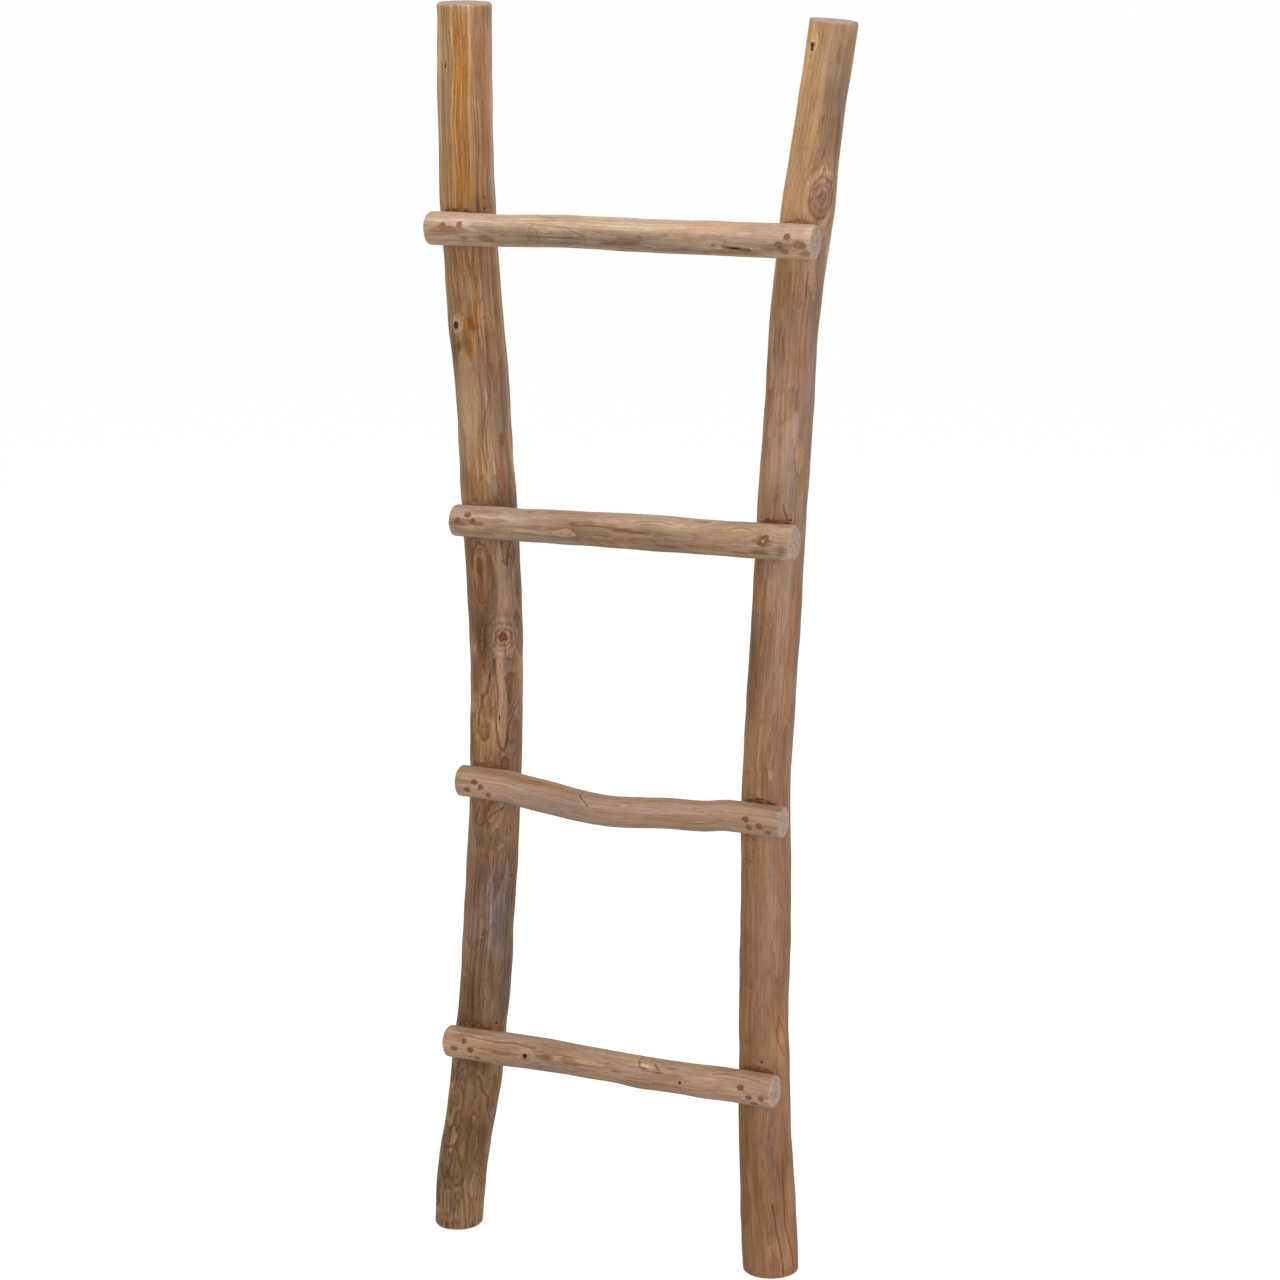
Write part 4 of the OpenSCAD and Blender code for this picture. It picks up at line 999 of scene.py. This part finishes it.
# Rings round the pole's axis at the radius and relief, less the edge's cut and the saddles
def buildPole(side):
    pole = poles[side]
    edge, tall, detail = pole["edge"], pole["height"], shapeDetail
    centres = [rung["height"] + side * rung["rise"] + 2 for rung in rungs]
    body = crowded(edge, tall - edge, centres, detail["poleRows"], detail["jointWidth"], detail["jointRows"])
    bar = barGrid(body, 0, tall, edge, detail["poleColumns"])
    height, angle = bar["along"], np.radians(bar["turn"])[..., None]
    right, back = poleRing(pole, height)
    way = right * np.sin(angle) - back * np.cos(angle)
    centre, radius = poleAxis(pole, height), poleRadius(pole, height)
    reach = (radius + skinRelief(pole, bar["turn"], height, radius) - bar["cut"]) * bar["share"]
    reach = np.where(bar["share"] < 1, reach, cutToSaddles(side, centre, way, reach))
    points = centre + way * reach[..., None]
    addBranch(pole, pole["finish"], bar, radius, points, poleAxis(pole, np.array([0.0, tall])))


# Rings round the rung's axis at the radius and relief, less the edge's cut
def buildRung(rung):
    span, edge = rungSpan(rung), shapeDetail["rungEdge"]
    low, high = -rung["reach"][0], span + rung["reach"][1]
    body = np.linspace(low + edge, high - edge, shapeDetail["rungRows"])
    bar = barGrid(body, low, high, edge, shapeDetail["rungColumns"])
    along, turn = bar["along"], bar["turn"]
    reach = (rungSkin(rung, turn, along) - bar["cut"]) * bar["share"]
    points = rungAxis(rung, along / span) + rungWay(turn) * reach[..., None]
    ends = rungAxis(rung, np.array([low, high]) / span)
    addBranch(rung, rungFinish, bar, rungRadius(rung, along / span), points, ends)


print("building the poles")
for side in (0, 1):
    buildPole(side)
print("building the rungs")
for rung in rungs:
    buildRung(rung)


# One piece at each rung end, made of the shells that a function works out for it
def addAtJoints(kind, seed, shellsAt, material, prefix):
    for number in range(len(rungs)):
        for side, name in enumerate(sides):
            draw = np.random.default_rng(seed + 10 * number + side)
            label = f"{kind}_{number + 1}_{name}"
            addPiece(label, shellsAt(number, side, draw), material, prefix + label)


# Plugs over the screws, by rung and side: places in rung radii sideways from the pole and up from the rung.
# Sizes are in mm; the profile is share of the radius and height, up in shares of proud and down in shares of depth
plugs = {
    "spots": [
        [[(-0.32, 0.26), (0.37, -0.05), (0.82, 0.37), (1.10, -0.47)],
         [(-0.40, -0.10), (-0.10, -0.46), (0.05, 0.40), (0.66, -0.05)]],
        [[(-0.68, 0.18), (-0.05, 0.55), (0.34, 0.18)], [(0.05, 0.22)]],
        [[(-0.08, 0.29), (0.37, 0), (-0.59, -0.27), (0.85, -0.48)],
         [(-0.24, 0.22), (-0.03, -0.30), (0.68, -0.11), (1.22, -0.49)]],
        [[(0.25, 0.46), (-0.41, -0.10), (0.71, -0.03), (1.12, -0.56)],
         [(-0.37, 0.32), (0.15, -0.23), (0.45, -0.62), (0.92, -0.20)]],
    ],
    "profile": [(0.12, 1), (0.3, 1), (0.5, 1), (0.7, 0.98), (0.85, 0.9), (0.94, 0.7), (1.0, 0.2), (1.0, -0.4),
                (0.97, -1), (0.93, -1), (0.6, -1), (0.15, -1)],
    "seed": 100, "radius": 3.7, "wide": (0.95, 1.3), "tall": (0.9, 1.08), "proud": 0.18, "depth": 5.0, "columns": 48,
    "ragged": 0.2, "lobes": (2, 3, 5), "chipped": ((0, 0.12), (0, 1), (0, 0), (0, 0)), "chipGrowth": 0.6,
    "redness": ((1.0, 0.4), (0.2, 0.3), (0.1, 0.1), (0.0, 0.0)), "uneven": 0.45, "unevenStep": 0.62,
    "bumpDepth": 0.0004,
    "dark": (112, 80, 52), "light": (134, 100, 68), "red": (158, 116, 86), "grit": (92, 64, 42),
    "chip": (196, 164, 132), "rim": (150, 118, 88),
}


# Putty in two browns, redder on some plugs, with dark grit, pale chips and a paler rim
def plugMaterial():
    g = Graph("plug_filler")
    section = g.field("section")
    rim, redness, chipped = g.split(g.field("rim"))
    blotch = g.noise(g.stretch(section, (0.35, 0.35, 0.35)), 3.0, 0.6)
    speck = g.noise(g.stretch(section, (1.6, 1.6, 1.6)), 3.0, 0.6)
    colour = g.mix(plugs["dark"], plugs["light"], g.ease(blotch, 0.42, 0.62))
    colour = g.mix(colour, plugs["red"], redness * 0.85)
    colour = g.mix(colour, plugs["grit"], g.ease(speck, 0.50, 0.64) * (0.8 - 0.5 * redness))
    colour = g.mix(colour, plugs["chip"], g.ease(rim + 1.2 * (speck - 0.5), 0.3, 0.12) * chipped)
    colour = g.mix(colour, plugs["rim"], g.ease(rim + 0.3 * (speck - 0.5), 0.86, 1.0) * 0.5)
    return g.finish(colour, 0.72 + 0.2 * (speck - 0.5), 0.6 * blotch + 0.4 * speck, plugs["bumpDepth"])


# One plug: a profile over its top, down its side and in again, carried round its ragged outline,
# which is a round with a few random cosines added
def plugShell(number, side, order, draw):
    rung, spot, chipped = rungs[number], plugs["spots"][number][side][order], plugs["chipped"][number][side]
    span, radius = rungSpan(rung), rungRadius(rung, side)
    reach, lift = np.array(plugs["profile"]).T
    lift = np.where(lift > 0, lift * plugs["proud"], lift * plugs["depth"])
    phi = np.arange(plugs["columns"]) * 2 * math.pi / plugs["columns"]
    ragged, girth = plugs["ragged"] * (1 + chipped), plugs["radius"] * (1 + plugs["chipGrowth"] * chipped)
    shape = 1 + ragged * sum(draw.uniform(-1, 1) * np.cos(k * phi + draw.uniform(0, 6.3)) / math.sqrt(k)
                             for k in plugs["lobes"])
    wide, tall = girth * draw.uniform(*plugs["wide"]), girth * draw.uniform(*plugs["tall"])
    def place(sideways, upwards, lift):
        along = side * span + radius * spot[0] + sideways
        turn = np.degrees(np.arcsin(spot[1])) + np.degrees(upwards / radius)
        return rungAxis(rung, along / span) + rungWay(turn) * (rungSkin(rung, turn, along) + lift)[..., None]
    sideways, upwards = reach[:, None] * wide * shape * np.cos(phi), reach[:, None] * tall * shape * np.sin(phi)
    points = place(sideways, upwards, lift[:, None] + 0 * sideways)
    ends = place(np.zeros(2), np.zeros(2), np.array([plugs["proud"], -plugs["depth"]]))
    redness = plugs["redness"][number][side] + plugs["uneven"] * (order * plugs["unevenStep"] % 1)
    rim = np.stack([reach[:, None] + 0 * sideways, redness + 0 * sideways, chipped + 0 * sideways], -1)
    return points, ends, {"section": (points, ends), "rim": (rim, [[0, redness, chipped]] * 2)}


# The plugs at one rung end
def plugShells(number, side, draw):
    return [plugShell(number, side, order, draw) for order in range(len(plugs["spots"][number][side]))]


print("setting the plugs")
addAtJoints("plugs", plugs["seed"], plugShells, plugMaterial(), "")

# Brown filler packed between each rung and the lips of its saddle; sizes in mm, lightness by rung and side
filler = {
    "seed": 200, "stations": 64, "front": 10, "depth": 5.5, "bite": 0.35, "grit": 0.22, "hollow": 0.3, "recess": 0.25,
    "insideWidth": 0.985, "lipFrom": 0.85, "behindRung": (0.4, 0.1), "bumpDepth": 0.0006,
    "lightness": ((0.1, 0.9), (0.7, 0.1), (0.3, 0.0), (0.0, 0.0)),
    "dark": (112, 74, 46), "light": (158, 112, 72), "pale": (184, 146, 104), "speck": (84, 56, 34),
}


# Putty in two browns in blotches along the strip, paler where it is light, with dark specks
def fillerMaterial():
    g = Graph("joint_filler")
    section = g.field("section")
    blotch = g.noise(g.stretch(section, (0.16, 0.3, 0.3)), 3.0, 0.6)
    speck = g.noise(g.stretch(section, (0.9, 1.3, 1.3)), 3.0, 0.6)
    light = g.split(g.field("tone"))[0]
    colour = g.mix(filler["dark"], filler["light"], g.ease(blotch, 0.42, 0.6))
    colour = g.mix(colour, filler["pale"], g.ease(blotch + 0.4 * speck, 0.84, 0.64) * light)
    colour = g.mix(colour, filler["speck"], g.ease(speck, 0.54, 0.66) * 0.6)
    return g.finish(colour, 0.85 + 0.1 * (speck - 0.5), 0.5 * blotch + 0.7 * speck, filler["bumpDepth"])


# One strip: a four-sided profile between the rung and the lip, carried across the pole's front;
# its front is hollowed by a parabola and roughened by grit
def fillerShell(number, side, up, draw):
    rung, pole = rungs[number], poles[side]
    centre, radius = crossing(rung, side), rungRadius(rung, side)
    level, wallRadius = centre[2], radius + joints["saddleGap"]
    poleCentre, girth = poleAxis(pole, level), poleRadius(pole, level)
    halfWidth = math.sqrt(girth ** 2 - (girth - joints["saddleDepth"]) ** 2) * filler["insideWidth"]
    x = halfWidth * np.sin(np.linspace(-1, 1, filler["stations"]) * math.pi / 2)
    lips = lipHeights(rung, side, x)[0 if up > 0 else 1]
    depth, height = jointLine(rung, side, x + centre[0])
    tilt = (poleAxis(pole, level + 10) - poleAxis(pole, level - 10)) / 20
    rise = height + up * (radius * filler["lipFrom"] + lips) - level
    bulge = np.sqrt(np.maximum(girth ** 2 - (x - tilt[0] * rise) ** 2, 1))
    skin = poleCentre[1] + tilt[1] * rise - bulge + filler["recess"]
    skin = np.minimum(skin, depth + radius - filler["behindRung"][0])
    inner = np.minimum(skin + filler["depth"], depth + radius - filler["behindRung"][1])
    def onRung(y):
        return height + up * (np.sqrt(np.maximum(radius ** 2 - (y - depth) ** 2, 0)) - filler["bite"])
    def onLip(y):
        return height + up * (lips + np.sqrt(np.maximum(wallRadius ** 2 - (y - depth) ** 2, 0)) + filler["bite"])
    share = np.linspace(0, 1, filler["front"])[:, None]
    frontY = skin + filler["hollow"] * 4 * share * (1 - share) * np.minimum(1, (inner - skin) / 3)
    grit = filler["grit"] * (draw.uniform(-1, 1, frontY.shape) * 0.6 + np.sin(x * 1.1 + 6 * share + rung["seed"]))
    frontY = frontY + grit * np.sin(share * math.pi)
    frontZ = onRung(skin) * (1 - share) + onLip(skin) * share
    backZ = onLip(inner) * (1 - share) + onRung(inner) * share
    y, z = np.concatenate([frontY, inner + 0 * share]).T, np.concatenate([frontZ, backZ]).T
    points = np.stack([(x + centre[0])[:, None] + 0 * y, y, z], -1)
    ends = points[[0, -1]].mean(1)
    light = filler["lightness"][number][side]
    return points, ends, {"section": (points, ends), "tone": (points * 0 + light, ends * 0 + light)}


# The strips above and below the rung at one rung end
def fillerShells(number, side, draw):
    return [fillerShell(number, side, up, draw) for up in (1, -1)]


print("packing the joints")
addAtJoints("filler", filler["seed"], fillerShells, fillerMaterial(), "joint_")

# The screws keep their CAD shape, in zinc-plated steel; noises in swings per metre
screws = {"steel": (150, 152, 156), "zinc": (176, 172, 160), "mottle": (900, 900, 900), "marks": (300, 4000, 300),
          "roughness": 0.3, "bumpDepth": 0.00004, "specular": 0.5}


# Steel and zinc in small mottles, rougher and smoother along the turning marks
def screwMaterial():
    g = Graph("screw_steel")
    place = g.add("ShaderNodeTexCoord", {}, {}, "Object")
    mottle, marks = g.noise(g.stretch(place, screws["mottle"]), 3.0, 0.6), g.noise(g.stretch(place, screws["marks"]))
    colour = g.mix(screws["steel"], screws["zinc"], g.ease(mottle, 0.4, 0.62))
    roughness = screws["roughness"] + 0.2 * (marks - 0.5)
    return g.finish(colour, roughness, marks, screws["bumpDepth"], 1.0, screws["specular"])


material = screwMaterial()
for number in range(len(rungs)):
    for name in sides:
        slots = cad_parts[f"screws_{number + 1}_{name}"].data.materials
        slots.clear()
        slots.append(material)
print("screws plated")

# Studio: places and sizes in metres, power in watts, strengths of 1 are white
studio = {
    "floorSize": 40, "floorColour": (0.8, 0.8, 0.8), "seenFloor": (0.3, 0.3, 0.3), "seenGlow": 0.86, "skyLight": 0.45,
    "lamps": [
        {"name": "front", "place": (-0.8, -3.0, 1.7), "aim": (0, 0, 0.8), "size": (2.0, 2.0), "power": 27},
        {"name": "side", "place": (2.3, -1.3, 0.8), "aim": (0, 0, 0.6), "size": (1.4, 1.4), "power": 16},
        {"name": "above", "place": (0, 0.05, 2.9), "aim": (0, 0, 0), "size": (1.6, 1.0), "power": 20},
        {"name": "behind", "place": (0.7, 3.1, 1.6), "aim": (0, 0, 0.8), "size": (2.0, 2.0), "power": 16},
    ],
}


# 1 where the camera or a mirror-like or clear surface looks, 0 for all other light
def seenMask(g):
    path = g.add("ShaderNodeLightPath", {}, {}).socket.node
    seen = [Wire(g, path.outputs[key]) for key in ("Is Camera Ray", "Is Glossy Ray", "Is Transmission Ray")]
    return g.number("MINIMUM", seen[0] + seen[1] + seen[2], 1.0)


# The floor is white where it is seen, with the ladder's shadow, and a plain grey for all other light
def makeFloor():
    half = studio["floorSize"] / 2
    mesh = bpy.data.meshes.new("floor")
    mesh.from_pydata([(-half, -half, 0), (half, -half, 0), (half, half, 0), (-half, half, 0)], [], [(0, 1, 2, 3)])
    floor = newObject("floor", mesh)
    g = Graph("floor_paint")
    plain = g.add("ShaderNodeBsdfDiffuse", {}, {"Color": (*studio["floorColour"], 1)})
    faint = g.add("ShaderNodeBsdfDiffuse", {}, {"Color": (*studio["seenFloor"], 1)})
    glow = g.add("ShaderNodeEmission", {}, {"Color": (1, 1, 1, 1), "Strength": studio["seenGlow"]})
    white = g.add("ShaderNodeAddShader", {}, {0: faint, 1: glow})
    both = g.add("ShaderNodeMixShader", {}, {0: seenMask(g), 1: plain, 2: white})
    g.add("ShaderNodeOutputMaterial", {}, {0: both})
    floor.data.materials.append(g.material)


# The world's soft light, white where it is seen, and the lamps
def makeLight():
    world = bpy.data.worlds.new("studio")
    scene.world = world
    world.use_nodes = True
    g = Graph("sky", world.node_tree)
    strength = studio["skyLight"] + seenMask(g) * (1 - studio["skyLight"])
    light = g.add("ShaderNodeBackground", {}, {"Color": (1, 1, 1, 1), "Strength": strength})
    g.add("ShaderNodeOutputWorld", {}, {0: light})
    for lamp in studio["lamps"]:
        data = bpy.data.lights.new(lamp["name"], "AREA")
        data.shape, data.size, data.size_y, data.energy = "RECTANGLE", *lamp["size"], lamp["power"]
        aim = Vector(lamp["aim"]) - Vector(lamp["place"])
        turned = aim.to_track_quat("-Z", "Y").to_matrix().to_4x4()
        newObject(lamp["name"], data).matrix_world = Matrix.Translation(lamp["place"]) @ turned


makeFloor()
makeLight()
print("studio lit")
